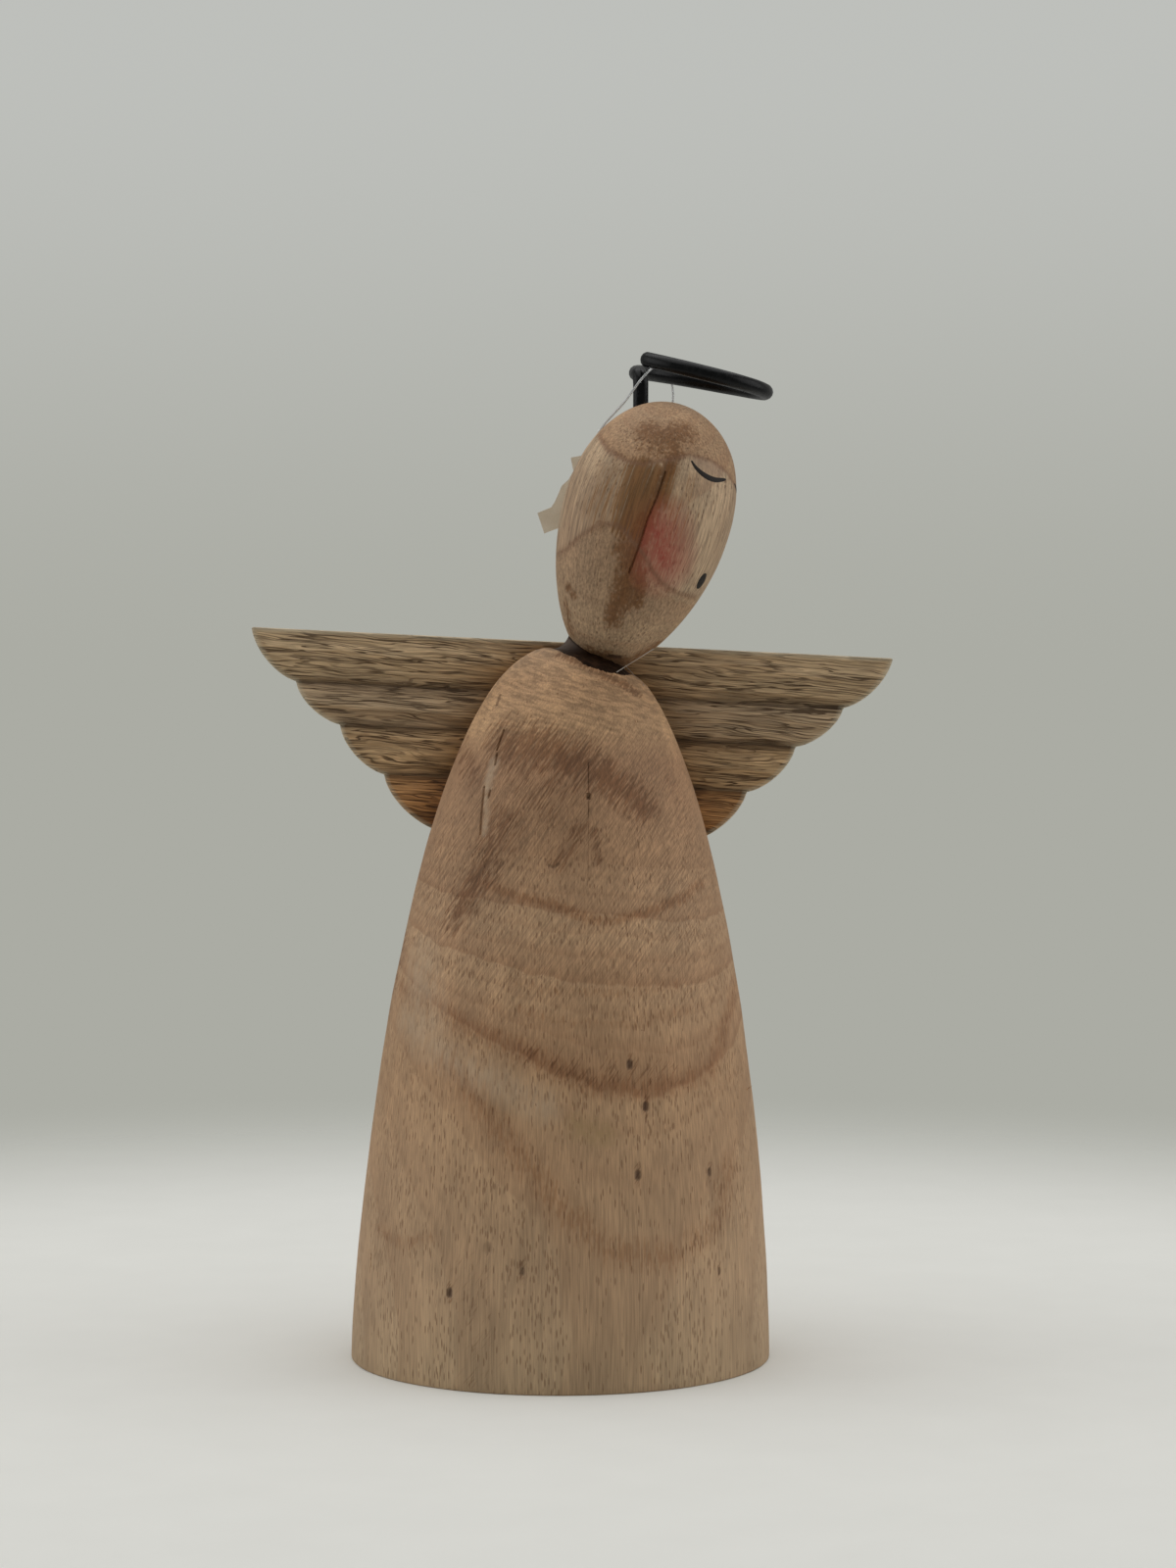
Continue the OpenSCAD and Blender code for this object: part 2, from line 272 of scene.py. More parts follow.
def wire_curve(name, points, radius, radii=None):
    """A curve object of one open spline with a round bevel."""
    curve = bpy.data.curves.new(name, "CURVE")
    curve.dimensions = "3D"
    curve.bevel_depth = radius
    curve.bevel_resolution = BEVEL_STEPS
    curve.use_fill_caps = True
    spline = curve.splines.new("POLY")
    spline.points.add(len(points) - 1)
    for i, (spot, place) in enumerate(zip(spline.points, points)):
        spot.co = (*place, 1)
        spot.radius = radii[i] if radii else 1
    spline.use_smooth = True
    wire = bpy.data.objects.new(name, curve)
    bpy.context.scene.collection.objects.link(wire)
    return wire


nylon, tree, shader, local = new_material("clear nylon", on_tag)
scuff = clouds(tree, local, (0.8, 0.8, 0.8))
fill(tree, shader, {"Base Color": (0.9, 0.92, 0.92, 1), "Transmission Weight": 0.55, "IOR": 1.53,
                    "Roughness": ramp(tree, scuff, 0.3, 0.8, 0.06, 0.22)})

tag_loop = wire_curve("nylon_loop", loop_points, LOOP_D / 2 * MM)
tag_loop.data.materials.append(nylon)
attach(tag_loop, "tag")
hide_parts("tag_loop")
print("loop bevel in mm:", tag_loop.data.bevel_depth * 2 / MM)

# %% [markdown]
# ## The paper label
# The label is a scrap of stiff cream paper with torn, pinched sides. A face drawn through the outline's
# points, cut across into small faces and then solidified, gives a sheet that can curl. The curl fades out at
# the grip, so the filament still leaves the paper where it should.


# %% Pieces from a bmesh
def all_of(bm):
    return bm.verts[:] + bm.edges[:] + bm.faces[:]


def set_down(bm, place):
    """Puts a mesh that was modelled in millimetres in its place, in metres."""
    bmesh.ops.transform(bm, matrix=place @ to_metres, verts=bm.verts)


def new_piece(name, bm, material, body="figure", slot=None, replaces=(), sharp=40):
    """Makes a mesh object of a bmesh in metres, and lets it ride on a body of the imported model."""
    mesh = bpy.data.meshes.new(name)
    bm.to_mesh(mesh)
    bm.free()
    mesh.shade_smooth()
    mesh.set_sharp_from_angle(angle=math.radians(sharp))
    mesh.materials.append(material)
    piece = bpy.data.objects.new(name, mesh)
    bpy.context.scene.collection.objects.link(piece)
    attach(piece, body)
    if replaces:
        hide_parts(*replaces)
    print(name, "faces:", len(mesh.polygons))
    return piece


# %% Paper label
CURL = 0.5
CURL_LENGTH = 7.5
CURL_LIMIT = 1.6
CURL_AT_TOP = 0.4
LABEL_CUTS = 11

paper, tree, shader, local = new_material("label paper", on_tag)
pulp = clouds(tree, local, (0.25, 0.25, 0.25), 4)
age = clouds(tree, local, (3, 3, 3))
cream = mix(tree, ramp(tree, age, 0.3, 0.7), (0.80, 0.72, 0.58, 1), (0.72, 0.63, 0.49, 1))
speckled = mix(tree, ramp(tree, pulp, 0.3, 0.8, 0, 0.5), cream, (0.6, 0.53, 0.42, 1))
fill(tree, shader, {"Base Color": speckled, "Roughness": 0.85})
bumped(tree, shader, pulp, 0.03)

bm = bmesh.new()
bm.faces.new([bm.verts.new((LABEL_W * u, 0, LABEL_H * v)) for u, v in LABEL_SHARES])
for k in range(1, LABEL_CUTS + 1):
    for size, normal in ((LABEL_W, (1, 0, 0)), (LABEL_H, (0, 0, 1))):
        cut_at = Vector(normal) * size * k / (LABEL_CUTS + 1)
        bmesh.ops.bisect_plane(bm, geom=all_of(bm), plane_co=cut_at, plane_no=normal)
for vert in bm.verts:
    reach = min((vert.co + LABEL_PLACE - grip).length / CURL_LENGTH, CURL_LIMIT)
    vert.co.y += CURL * reach ** 2 * (1 if vert.co.z < LABEL_H / 2 else CURL_AT_TOP)
bmesh.ops.recalc_face_normals(bm, faces=bm.faces)
bmesh.ops.solidify(bm, geom=bm.faces[:], thickness=LABEL_T)
bmesh.ops.translate(bm, verts=bm.verts, vec=LABEL_PLACE - Vector((0, LABEL_T / 2, 0)))
set_down(bm, on_tag)
tag_label = new_piece("paper_label", bm, paper, "tag", "label_paper", ["tag_label"])

# %% [markdown]
# ## Wood grain as a node group
# Four pieces of this doll are wood, and the same effects make all of them: growth rings round the pith of
# the tree, fine fibres along it, and open pores that lie thick in the first wood of each ring. Real figure
# comes from cutting through that solid, so the group works in three dimensions, and the arcs on the bell and
# the egg appear by themselves where the turned surface cuts the rings. The fibres follow the group's Z axis.

# %% Wood grain group
GRAIN_INPUTS = {"Vector": (0, 0, 0), "Ring Spacing": 2, "Ring Start": 0, "Ring Fade": -4, "Outer Fade": 999,
                "Wobble": 0.4, "Fibre Size": (0.4, 0.4, 14), "Pore Size": (0.9, 0.9, 4.5), "Pore Share": 0.4}
GRAIN_OUTPUTS = ("Late", "Fibre", "Pore", "Tone")
RING_WANDER = (22, 22, 45)
RING_RIPPLE = (3, 3, 12)
RING_FADE_WIDTH = 4
FINE_RINGS = 3
TONE_SIZE = (9, 9, 22)

grain = bpy.data.node_groups.new("Wood Grain", "ShaderNodeTree")
for name, value in GRAIN_INPUTS.items():
    kind = "NodeSocketVector" if isinstance(value, tuple) else "NodeSocketFloat"
    grain.interface.new_socket(name, in_out="INPUT", socket_type=kind).default_value = value
for name in GRAIN_OUTPUTS:
    grain.interface.new_socket(name, in_out="OUTPUT", socket_type="NodeSocketFloat")
given = grain.nodes.new("NodeGroupInput").outputs

across_grain = vectors(grain, "MULTIPLY", given["Vector"], (1, 1, 0))
from_pith = put(grain, "VectorMath", {0: across_grain}, operation="LENGTH").outputs["Value"]
wander = waves(grain, given["Vector"], RING_WANDER)
ripple = waves(grain, given["Vector"], RING_RIPPLE)
stray = sums(grain, "ADD", wander, sums(grain, "MULTIPLY", ripple, 0.8))
stray = sums(grain, "MULTIPLY", stray, sums(grain, "MULTIPLY", given["Wobble"], 2))
ring = sums(grain, "SUBTRACT", sums(grain, "ADD", from_pith, stray), given["Ring Start"])
ring = sums(grain, "DIVIDE", ring, given["Ring Spacing"])
phase = sums(grain, "FRACT", ring)
lot = put(grain, "TexWhiteNoise", {"W": sums(grain, "FLOOR", ring)}, noise_dimensions="1D").outputs["Value"]
late = sums(grain, "MULTIPLY", ramp(grain, phase, 0.25, 0.95), ramp(grain, phase, 1, 0.95))
late = sums(grain, "MULTIPLY", late, ramp(grain, lot, 0, 1, 0.5, 1))
fine = sums(grain, "FRACT", sums(grain, "MULTIPLY", ring, FINE_RINGS))
fine_late = sums(grain, "MULTIPLY", ramp(grain, fine, 0.4, 0.9), ramp(grain, fine, 1, 0.9, 0, 0.3))
late = sums(grain, "ADD", late, fine_late)
grown = sums(grain, "DIVIDE", sums(grain, "SUBTRACT", from_pith, given["Ring Fade"]), RING_FADE_WIDTH)
outer = ramp(grain, sums(grain, "SUBTRACT", from_pith, given["Outer Fade"]), 0, 1.2, 1, 0.35)
shown = sums(grain, "MULTIPLY", ramp(grain, grown, 0, 1), outer)

cells = put(grain, "TexVoronoi", {"Vector": vectors(grain, "DIVIDE", given["Vector"], given["Pore Size"]),
                                  "Scale": 1})
draw = put(grain, "SeparateColor", {"Color": cells.outputs["Color"]}).outputs[0]
early = ramp(grain, phase, 0.75, 0.05)
likely = sums(grain, "MULTIPLY", given["Pore Share"], ramp(grain, early, 0, 1, 0.3, 1))
likely = sums(grain, "MULTIPLY", likely, ramp(grain, grown, -0.5, 1, 0.1, 1))
pore = sums(grain, "MULTIPLY", ramp(grain, cells.outputs["Distance"], 0.38, 0.2),
            sums(grain, "LESS_THAN", draw, likely))
fill(grain, grain.nodes.new("NodeGroupOutput"), {
    "Late": sums(grain, "MULTIPLY", late, shown),
    "Fibre": clouds(grain, given["Vector"], given["Fibre Size"], 4),
    "Pore": pore,
    "Tone": clouds(grain, given["Vector"], TONE_SIZE, 3)})
print("wood grain nodes:", len(grain.nodes))


# %% [markdown]
# ## A start for every wood
# Each wood begins the same way: its own axes, the grain group with its own values, and a colour that goes
# from pale first wood to browner late wood, streaked by the fibres and pricked by the pores. What a piece
# has suffered since, such as cracks, stains and paint, is added on top in that piece's own step. Such marks
# are painted on the mesh as attributes, because they follow the surface.


# %% Start and finish of a wood
def start_wood(name, place, pale, late_colour, pore_colour, **values):
    """A wood's material, tree, shader and axes, with the colour and the relief of its grain."""
    material, tree, shader, local = new_material(name, place)
    group = tree.nodes.new("ShaderNodeGroup")
    group.node_tree = grain
    fill(tree, group, {"Vector": local})
    fill(tree, group, {key.replace("_", " ").title(): value for key, value in values.items()})
    late, fibre, pore, tone = [group.outputs[key] for key in GRAIN_OUTPUTS]
    colour = mix(tree, late, pale, late_colour)
    colour = tinted(tree, colour, ramp(tree, tone, 0.25, 0.75, 0.86, 1.1))
    colour = tinted(tree, colour, ramp(tree, fibre, 0.3, 0.7, 0.82, 1.16))
    colour = mix(tree, sums(tree, "MULTIPLY", pore, 0.8), colour, pore_colour)
    fuzz = sums(tree, "MULTIPLY", fibre, 0.5)
    height = sums(tree, "SUBTRACT", fuzz, sums(tree, "MULTIPLY", pore, 0.6))
    return material, tree, shader, local, colour, height


def mark(tree, name):
    """Strength of a mark that is painted on the mesh."""
    return put(tree, "Attribute", attribute_name=name).outputs["Fac"]


def broken(tree, value, local, size, floor=0.35):
    """A mark whose strength is broken up by noise."""
    patches = ramp(tree, clouds(tree, local, size, 4), 0.3, 0.65, floor, 1)
    return sums(tree, "MULTIPLY", value, patches)


def ragged(tree, value, local, size, soft=0.35):
    """A mark with a sharp edge that noise makes ragged, over a soft share of the mark itself."""
    torn = waves(tree, local, size, 4)
    torn = ramp(tree, sums(tree, "ADD", value, sums(tree, "MULTIPLY", torn, 2.2)), 0.3, 0.75)
    torn = sums(tree, "MULTIPLY", torn, ramp(tree, value, 0, 0.3))
    return sums(tree, "ADD", sums(tree, "MULTIPLY", value, soft), sums(tree, "MULTIPLY", torn, 1 - soft))


def end_wood(tree, shader, colour, height, relief, rough):
    """Gives a wood's shader its colour and relief, a little rougher in the hollows."""
    roughness = ramp(tree, height, -1, 0.6, rough + 0.1, rough)
    fill(tree, shader, {"Base Color": colour, "Roughness": roughness, "Specular IOR Level": 0.3})
    bumped(tree, shader, height, relief)


# %% [markdown]
# ## The body's wood
# The bell was turned from a small trunk, so its rings lie almost round its own axis. The pith leans, which is
# why the arcs sag at the front. Hands have darkened the chest more than the foot, so a ramp over the height
# shifts the tone. Sanding left fine slanting scratches, and brown smears lie over the grain along them.

# %% Body wood
BODY_PITH = Vector((1.1, -2.8, 60))
BODY_PITH_WAY = Vector((-0.013, 0.057, 1))
SCRATCH_SLANT = 33
SCRATCH_SIZE = (0.26, 2.5, 5)
SHAVING_SLANT = 14
SHAVING_SIZE = (3.4, 3.4, 0.7)
SMEAR_SIZE = (0.4, 2.5, 3.2)
SMEAR_TONE = (0.52, 0.42, 0.35, 1)
BAND_SIZE = (0.5, 0.5, 2.6)
BAND_TONE = (0.72, 0.6, 0.51, 1)
SMUDGE_SIZE = (1.5, 1.5, 1.5)
SMUDGE_COLOUR = (0.36, 0.235, 0.115, 1)
RUBBED_SIZE = (1.2, 1.2, 4)
RUBBED_COLOUR = (0.53, 0.41, 0.285, 1)
CHECK_COLOUR = (0.045, 0.02, 0.01, 1)
PATINA = [(0.0, (0.9, 0.93, 0.92, 1)), (1.0, (0.8, 0.74, 0.68, 1)), (0.12, (0.95, 0.93, 0.91, 1)),
          (0.4, (0.94, 0.85, 0.77, 1)), (0.62, (0.96, 0.89, 0.84, 1)), (0.7, (0.78, 0.68, 0.61, 1)),
          (0.83, (0.74, 0.62, 0.55, 1)), (0.88, (0.95, 0.85, 0.74, 1)), (0.94, (0.87, 0.76, 0.65, 1))]


def pith_frame(place, point, way):
    """The axes of a piece, moved to a point of the pith and turned until Z runs along it."""
    return place @ shift(*point) @ way.to_track_quat("Z", "Y").to_matrix().to_4x4()


def tones(tree, value, stops, interpolation="LINEAR"):
    """A colour that follows a value through a list of stops."""
    made = put(tree, "ValToRGB", {"Fac": value})
    made.color_ramp.interpolation = interpolation
    given_stops = made.color_ramp.elements
    for i, (share, tone) in enumerate(stops):
        stop = given_stops[i] if i < 2 else given_stops.new(share)
        stop.position = share
        stop.color = tone
    return made.outputs["Color"]


def slanting(tree, vector, degrees):
    """Coordinates that lean sideways by an angle."""
    return put(tree, "Mapping", {"Vector": vector, "Rotation": (0, math.radians(-degrees), 0)}).outputs[0]


body_pith = pith_frame(on_body, BODY_PITH, BODY_PITH_WAY)
body_wood, tree, shader, local, colour, height = start_wood(
    "pale turned wood", body_pith, (0.50, 0.342, 0.208, 1), (0.37, 0.225, 0.127, 1), (0.30, 0.18, 0.1, 1),
    ring_spacing=2.0, ring_start=37.04, ring_fade=29.5, outer_fade=37.3, wobble=0.2,
    fibre_size=(0.3, 0.3, 9), pore_size=(0.5, 0.5, 2.9), pore_share=0.9)
height_share = sums(tree, "DIVIDE", put(tree, "SeparateXYZ", {0: local}).outputs["Z"], BODY_H)
height_share = sums(tree, "ADD", height_share, BODY_PITH.z / BODY_H)
colour = tinted(tree, colour, tones(tree, height_share, PATINA))
upright = own_axes(tree, on_body)
slanted = slanting(tree, upright, SCRATCH_SLANT)
dome = ramp(tree, height_share, 0.84, 0.92)
sanded = sums(tree, "MULTIPLY", mark(tree, "sanded"), sums(tree, "SUBTRACT", 1.0, dome))
scratch = sums(tree, "MULTIPLY", waves(tree, slanted, SCRATCH_SIZE, 3), sanded)
colour = tinted(tree, colour, ramp(tree, scratch, -0.13, 0.13, 0.78, 1.19))
shavings = waves(tree, slanting(tree, upright, SHAVING_SLANT), SHAVING_SIZE, 3)
shavings = sums(tree, "MULTIPLY", shavings, dome)
colour = tinted(tree, colour, ramp(tree, shavings, -0.14, 0.14, 0.76, 1.2))
colour = tinted(tree, colour, SMEAR_TONE, ragged(tree, mark(tree, "stain"), slanted, SMEAR_SIZE, 0.3))
colour = tinted(tree, colour, BAND_TONE, ragged(tree, mark(tree, "band"), local, BAND_SIZE, 0.5))
colour = mix(tree, broken(tree, mark(tree, "smudge"), local, SMUDGE_SIZE), colour, SMUDGE_COLOUR)
colour = mix(tree, broken(tree, mark(tree, "rubbed"), local, RUBBED_SIZE), colour, RUBBED_COLOUR)
colour = mix(tree, mark(tree, "dark"), colour, CHECK_COLOUR)
height = sums(tree, "ADD", height, sums(tree, "MULTIPLY", sums(tree, "ADD", scratch, shavings), 1.2))
end_wood(tree, shader, colour, height, 0.16, 0.66)
print("body wood nodes:", len(tree.nodes))

# %% [markdown]
# ## The turned body
# A lathe turns an outline round an axis, and the spin operator does the same to a row of edges. The front is
# spun in finer steps than the back, because the cracks there need small faces. The outline is a formula: full
# at the base, and drawn in to a blunt dome. Noise then takes away the machine-like evenness, and a few flats
# stand for the knife cuts on the shoulders.

# %% Spun blank
BODY_SWELL = 1.46
BODY_DOME = 0.41
BODY_ROWS = 220
BODY_SKIRT = 2
BODY_FRONT_ARC = 150
BODY_FRONT_STEPS = 190
BODY_BACK_STEPS = 90
BODY_WAVES = [(30, 0.22), (9, 0.07)]
DOUBLES = 0.001


def turned(outline, front_arc, front_steps, back_steps):
    """Spins an outline of radius and height round Z, with finer steps over an arc at the front."""
    bm = bmesh.new()
    start = turn(-90 - front_arc / 2, "Z")
    verts = [bm.verts.new(start @ Vector((r, 0, z))) for r, z in outline]
    rim = verts + [bm.edges.new(pair) for pair in zip(verts, verts[1:])]
    for arc, steps in ((front_arc, front_steps), (360 - front_arc, back_steps)):
        rim = bmesh.ops.spin(bm, geom=rim, cent=(0, 0, 0), axis=(0, 0, 1), angle=math.radians(arc),
                             steps=steps)["geom_last"]
    bmesh.ops.remove_doubles(bm, verts=bm.verts, dist=DOUBLES)
    bmesh.ops.recalc_face_normals(bm, faces=bm.faces)
    return bm


def uneven(bm, parts):
    """Moves a surface in and out by noise, once for each size of its waves and their height."""
    for size, amount in parts:
        bm.normal_update()
        for vert in bm.verts:
            vert.co += vert.normal * noise.noise(vert.co / size) * amount


def body_radius(z):
    return BODY_D / 2 * (1 - (max(z, 0) / BODY_H) ** BODY_SWELL) ** BODY_DOME


body_heights = [BODY_H * math.sin(math.pi / 2 * i / BODY_ROWS) for i in range(2, BODY_ROWS)]
body_outline = [(BODY_D / 2, -BODY_SKIRT), *[(body_radius(z), z) for z in body_heights], (0, BODY_H)]
body_bm = turned(body_outline, BODY_FRONT_ARC, BODY_FRONT_STEPS, BODY_BACK_STEPS)
uneven(body_bm, BODY_WAVES)
set_down(body_bm, on_body)
print("body blank faces:", len(body_bm.faces))


# %% Base, neck flat and knife cuts
def slice_off(bm, point, normal):
    """Cuts away what lies past a plane, and closes the cut with one face."""
    bmesh.ops.bisect_plane(bm, geom=all_of(bm), plane_co=point, plane_no=normal, clear_outer=True)
    rim = [edge for edge in bm.edges if edge.is_boundary]
    return bmesh.ops.edgeloop_fill(bm, edges=rim)["faces"]


def reach_of(bm, points, reach):
    """Distance from a line of points, for each vertex within reach of it."""
    bm.verts.index_update()
    bm.verts.ensure_lookup_table()
    spots = KDTree(len(bm.verts))
    for vert in bm.verts:
        spots.insert(vert.co, vert.index)
    spots.balance()
    found = {}
    for point in points:
        for _, index, gap in spots.find_range(point, reach):
            found[index] = min(gap, found.get(index, reach))
    return {bm.verts[index]: gap for index, gap in found.items()}


def shave(bm, point, normal, depth):
    """Flattens a bulge as a knife does, down to a plane that lies under a point of the surface."""
    for vert in bm.verts:
        over = (vert.co - point).dot(normal) + depth
        if over > 0:
            vert.co -= normal * over * KNIFE_BITE


BASE_ROUND = 0.4
BASE_ROUND_STEPS = 3
NECK_ROUND = 2.4
NECK_RINGS = 6
NECK_RUBS = 60
KNIFE_BITE = 0.9
KNIFE_CUTS = [(200, 138, 0.3), (222, 143, 0.25), (243, 146, 0.3), (118, 141, 0.3), (75, 136, 0.35),
              (20, 140, 0.3), (330, 144, 0.2), (52, 145, 0.25), (150, 146, 0.25)]

for angle, z, depth in KNIFE_CUTS:
    way = way_at(angle)
    slope = (body_radius(z - 1) - body_radius(z + 1)) / 2
    normal = on_body.to_3x3() @ (way + Vector((0, 0, slope))).normalized()
    point = on_body @ ((way * body_radius(z) + Vector((0, 0, z))) * MM)
    shave(body_bm, point, normal, depth * MM)
base = slice_off(body_bm, (0, 0, 0), (0, 0, -1))
neck_flat = slice_off(body_bm, on_neck.translation, on_neck.to_3x3() @ Vector((0, 0, 1)))
flat_rim = [vert.co.copy() for vert in neck_flat[0].verts]
for _ in range(NECK_RINGS):
    bmesh.ops.inset_region(body_bm, faces=neck_flat, thickness=NECK_ROUND / NECK_RINGS * MM)
worn = list(reach_of(body_bm, flat_rim, NECK_ROUND * MM))
for _ in range(NECK_RUBS):
    bmesh.ops.smooth_vert(body_bm, verts=worn, factor=0.5, use_axis_x=True, use_axis_y=True, use_axis_z=True)
bmesh.ops.bevel(body_bm, geom=base[0].edges[:], offset=BASE_ROUND * MM, segments=BASE_ROUND_STEPS,
                profile=0.5, affect="EDGES", material=-1)
print("body faces after the cuts:", len(body_bm.faces))


# %% [markdown]
# ## Cracks, knots and stains on the body
# The chest has a split with ragged lips and a straight hairline check, and small round pin knots lie further
# down. Bump alone would leave them flat at the outline and in the exported mesh, so the faces near them are
# divided and the vertices pushed in. The same lines also paint the attributes that the material reads. Every
# line is given by the pixels at which the photograph shows it, and rays carry it onto the wood.


# %% Marks on a surface
LINE_STEP_PX = 1.5
PAINT_STEP_PX = 6
REFINE_ROOMS = (4, 2.4)
CRACK_SOFTNESS = 0.5


def line_on(tree, pixels, step=LINE_STEP_PX):
    """Points of a piece under a line of pixels."""
    points = []
    for (ax, ay), (bx, by) in zip(pixels, pixels[1:]):
        count = max(1, round(math.hypot(bx - ax, by - ay) / step))
        for k in range(count + 1):
            points.append(seen_at(tree, ax + (bx - ax) * k / count, ay + (by - ay) * k / count))
    return [point for point in points if point]


def refine(bm, points, reach):
    """Divides the faces near a line in four."""
    near = reach_of(bm, points, reach)
    edges = [edge for edge in bm.edges if edge.verts[0] in near and edge.verts[1] in near]
    bmesh.ops.subdivide_edges(bm, edges=edges, cuts=1, use_grid_fill=True)


def paint(bm, name, points, reach, strength=1.0, power=1.0):
    """Paints an attribute along a line, full in the middle and fading to nothing at its reach."""
    layer = bm.verts.layers.float.get(name) or bm.verts.layers.float.new(name)
    for vert, gap in reach_of(bm, points, reach).items():
        vert[layer] = max(vert[layer], strength * (1 - gap / reach) ** power)


def sink(bm, points, reach, depth):
    """Presses a groove or a pit into a surface."""
    bm.normal_update()
    for vert, gap in reach_of(bm, points, reach).items():
        vert.co -= vert.normal * depth * (1 - (gap / reach) ** 2)


def crack(bm, points, width, depth, strength=1.0):
    """A dark groove along a line of points, with sizes in millimetres."""
    for room in REFINE_ROOMS:
        refine(bm, points, room * width * MM)
    sink(bm, points, width * MM, depth * MM)
    paint(bm, "dark", points, width * MM, strength, CRACK_SOFTNESS)


def crack_lines(bm, tree, cracks):
    """Cuts a crack under each line of pixels."""
    for pixels, width, depth, strength in cracks:
        crack(bm, line_on(tree, pixels), width, depth, strength)


def paint_lines(bm, tree, name, marks, power):
    """Paints an attribute under each line of pixels, with a reach in millimetres and a strength."""
    for pixels, reach, strength in marks:
        paint(bm, name, line_on(tree, pixels, PAINT_STEP_PX), reach * MM, strength, power)


# %% Marks on the body
CHEST_SPLIT = [(494, 803), (491, 831), (490, 851)]
CHEST_SLITS = [[(514, 745), (510, 756), (507, 765)], [(507, 770), (505, 780)], [(500, 807), (498, 814)]]
CHEST_SLIVER = [(496, 815), (497, 832), (494, 850)]
CHEST_CHECK = [(600.3, 779), (600.6, 832)]
CHECK_TAIL = [(600.6, 832), (599.5, 905)]
CHECK_HOLE = [(600.6, 811), (600.6, 814)]
CHEST_HOOK = [(560, 883), (565, 885), (570, 882)]
FOOT_CHECK = [(378.4, 1279), (378.4, 1292)]
DOME_NICK = [(510, 710), (507, 719)]
CRACKS = [(CHEST_SPLIT, 0.3, 0.5, 0.9), (CHEST_CHECK, 0.16, 0.25, 0.75), (CHECK_TAIL, 0.14, 0.15, 0.4),
          (CHECK_HOLE, 0.55, 0.8, 1), (CHEST_HOOK, 0.4, 0.1, 0.5), (FOOT_CHECK, 0.26, 0.5, 0.9),
          (DOME_NICK, 0.45, 0.25, 0.7), *[(slit, 0.3, 0.6, 0.95) for slit in CHEST_SLITS]]
KNOTS = [(642.5, 1086, 0.8, 1), (659, 1129, 0.8, 1), (651, 1199, 0.8, 1), (724, 1196, 0.65, 0.9),
         (498, 1274, 1.1, 0.35), (533, 1297, 0.6, 0.8), (458.5, 1319, 0.8, 1), (734, 1297, 0.45, 0.8)]
KNOT_DEPTH = 0.25
KNOT_LENGTH_PX = 2
KNOT_STREAK_PX = 9
STREAK_REACH = 1.3
STREAK_STRENGTH = 0.6
# The dark band under the chin is partly a stain and partly painted shade from the gap under the head.
NECK_STAIN_AND_SHADE = [(575, 665), (593, 671), (607, 676), (620, 681), (632, 686)]
NECK_STAIN_AND_SHADE_REACH = 1.3
NECK_STAIN_AND_SHADE_STRENGTH = 0.9
BODY_SOFTNESS = 0.6
STAINS = [([(516, 838), (500, 872), (478, 912), (464, 936)], 6.4, 0.64), ([(484, 900), (467, 932)], 4.6, 0.9),
          ([(514, 757), (548, 762), (588, 776)], 8, 0.8), ([(540, 790), (580, 800)], 9, 0.45),
          ([(572, 766), (579, 782)], 3.6, 1), ([(612, 790), (636, 806), (655, 821)], 6, 0.85),
          ([(470, 765), (484, 792)], 5, 0.55), ([(607, 850), (610, 878)], 1.8, 0.6),
          ([(568, 880), (580, 866), (592, 846)], 3.2, 0.6),
          ([(572, 668), (600, 680), (628, 694), (650, 706)], 2.2, 0.8),
          ([(530, 800), (560, 830)], 8, 0.35), ([(680, 790), (700, 830)], 5, 0.3),
          ([(480, 1290), (488, 1420)], 8, 0.22), ([(540, 1075), (608, 1098), (680, 1096)], 5, 0.4)]
BANDS = [([(455, 1080), (510, 1155), (580, 1238), (626, 1280), (694, 1281), (732, 1247), (745, 1190)],
          4.5, 0.6),
         ([(410, 1006), (456, 1037), (494, 1055), (534, 1072), (568, 1090), (608, 1108), (651, 1112),
           (694, 1106), (726, 1092), (737, 1057), (752, 1000)], 3.2, 0.7),
         ([(498, 904), (530, 915), (562, 922), (600, 938), (625, 940), (661, 931), (692, 918), (716, 902)],
          1.7, 0.9),
         ([(520, 1000), (570, 1012), (640, 1014), (690, 1004)], 1.6, 0.5),
         ([(530, 1030), (580, 1044), (650, 1046), (700, 1030)], 1.6, 0.5),
         ([(387, 1255), (412, 1270), (439, 1262)], 2, 0.6)]
SMUDGES = [([(590, 1151), (616, 1157)], 3.4, 0.9)]
RUBBED = [([(504, 778), (497, 803)], 1.8, 0.6), (CHEST_SLIVER, 1, 0.65),
          ([(412, 1040), (460, 1082), (520, 1112), (556, 1130)], 4.5, 0.45),
          ([(428, 985), (434, 1050)], 8, 0.45)]
SANDED = [([(470, 900), (560, 760), (640, 760), (680, 900)], 22, 1),
          ([(480, 980), (580, 960), (700, 960)], 18, 0.7), ([(540, 690), (620, 690)], 16, 0.5)]

body_tree = BVHTree.FromBMesh(body_bm)
crack_lines(body_bm, body_tree, CRACKS)
for px, py, size, strength in KNOTS:
    knot = line_on(body_tree, [(px, py - KNOT_LENGTH_PX), (px, py + KNOT_LENGTH_PX)])
    streak = line_on(body_tree, [(px, py - KNOT_STREAK_PX), (px, py + KNOT_STREAK_PX)])
    crack(body_bm, knot, size, KNOT_DEPTH, strength)
    paint(body_bm, "stain", streak, STREAK_REACH * MM, STREAK_STRENGTH * strength)
body_marks = {"stain": STAINS, "band": BANDS, "smudge": SMUDGES, "rubbed": RUBBED, "sanded": SANDED}
for name, marks in body_marks.items():
    paint_lines(body_bm, body_tree, name, marks, BODY_SOFTNESS)
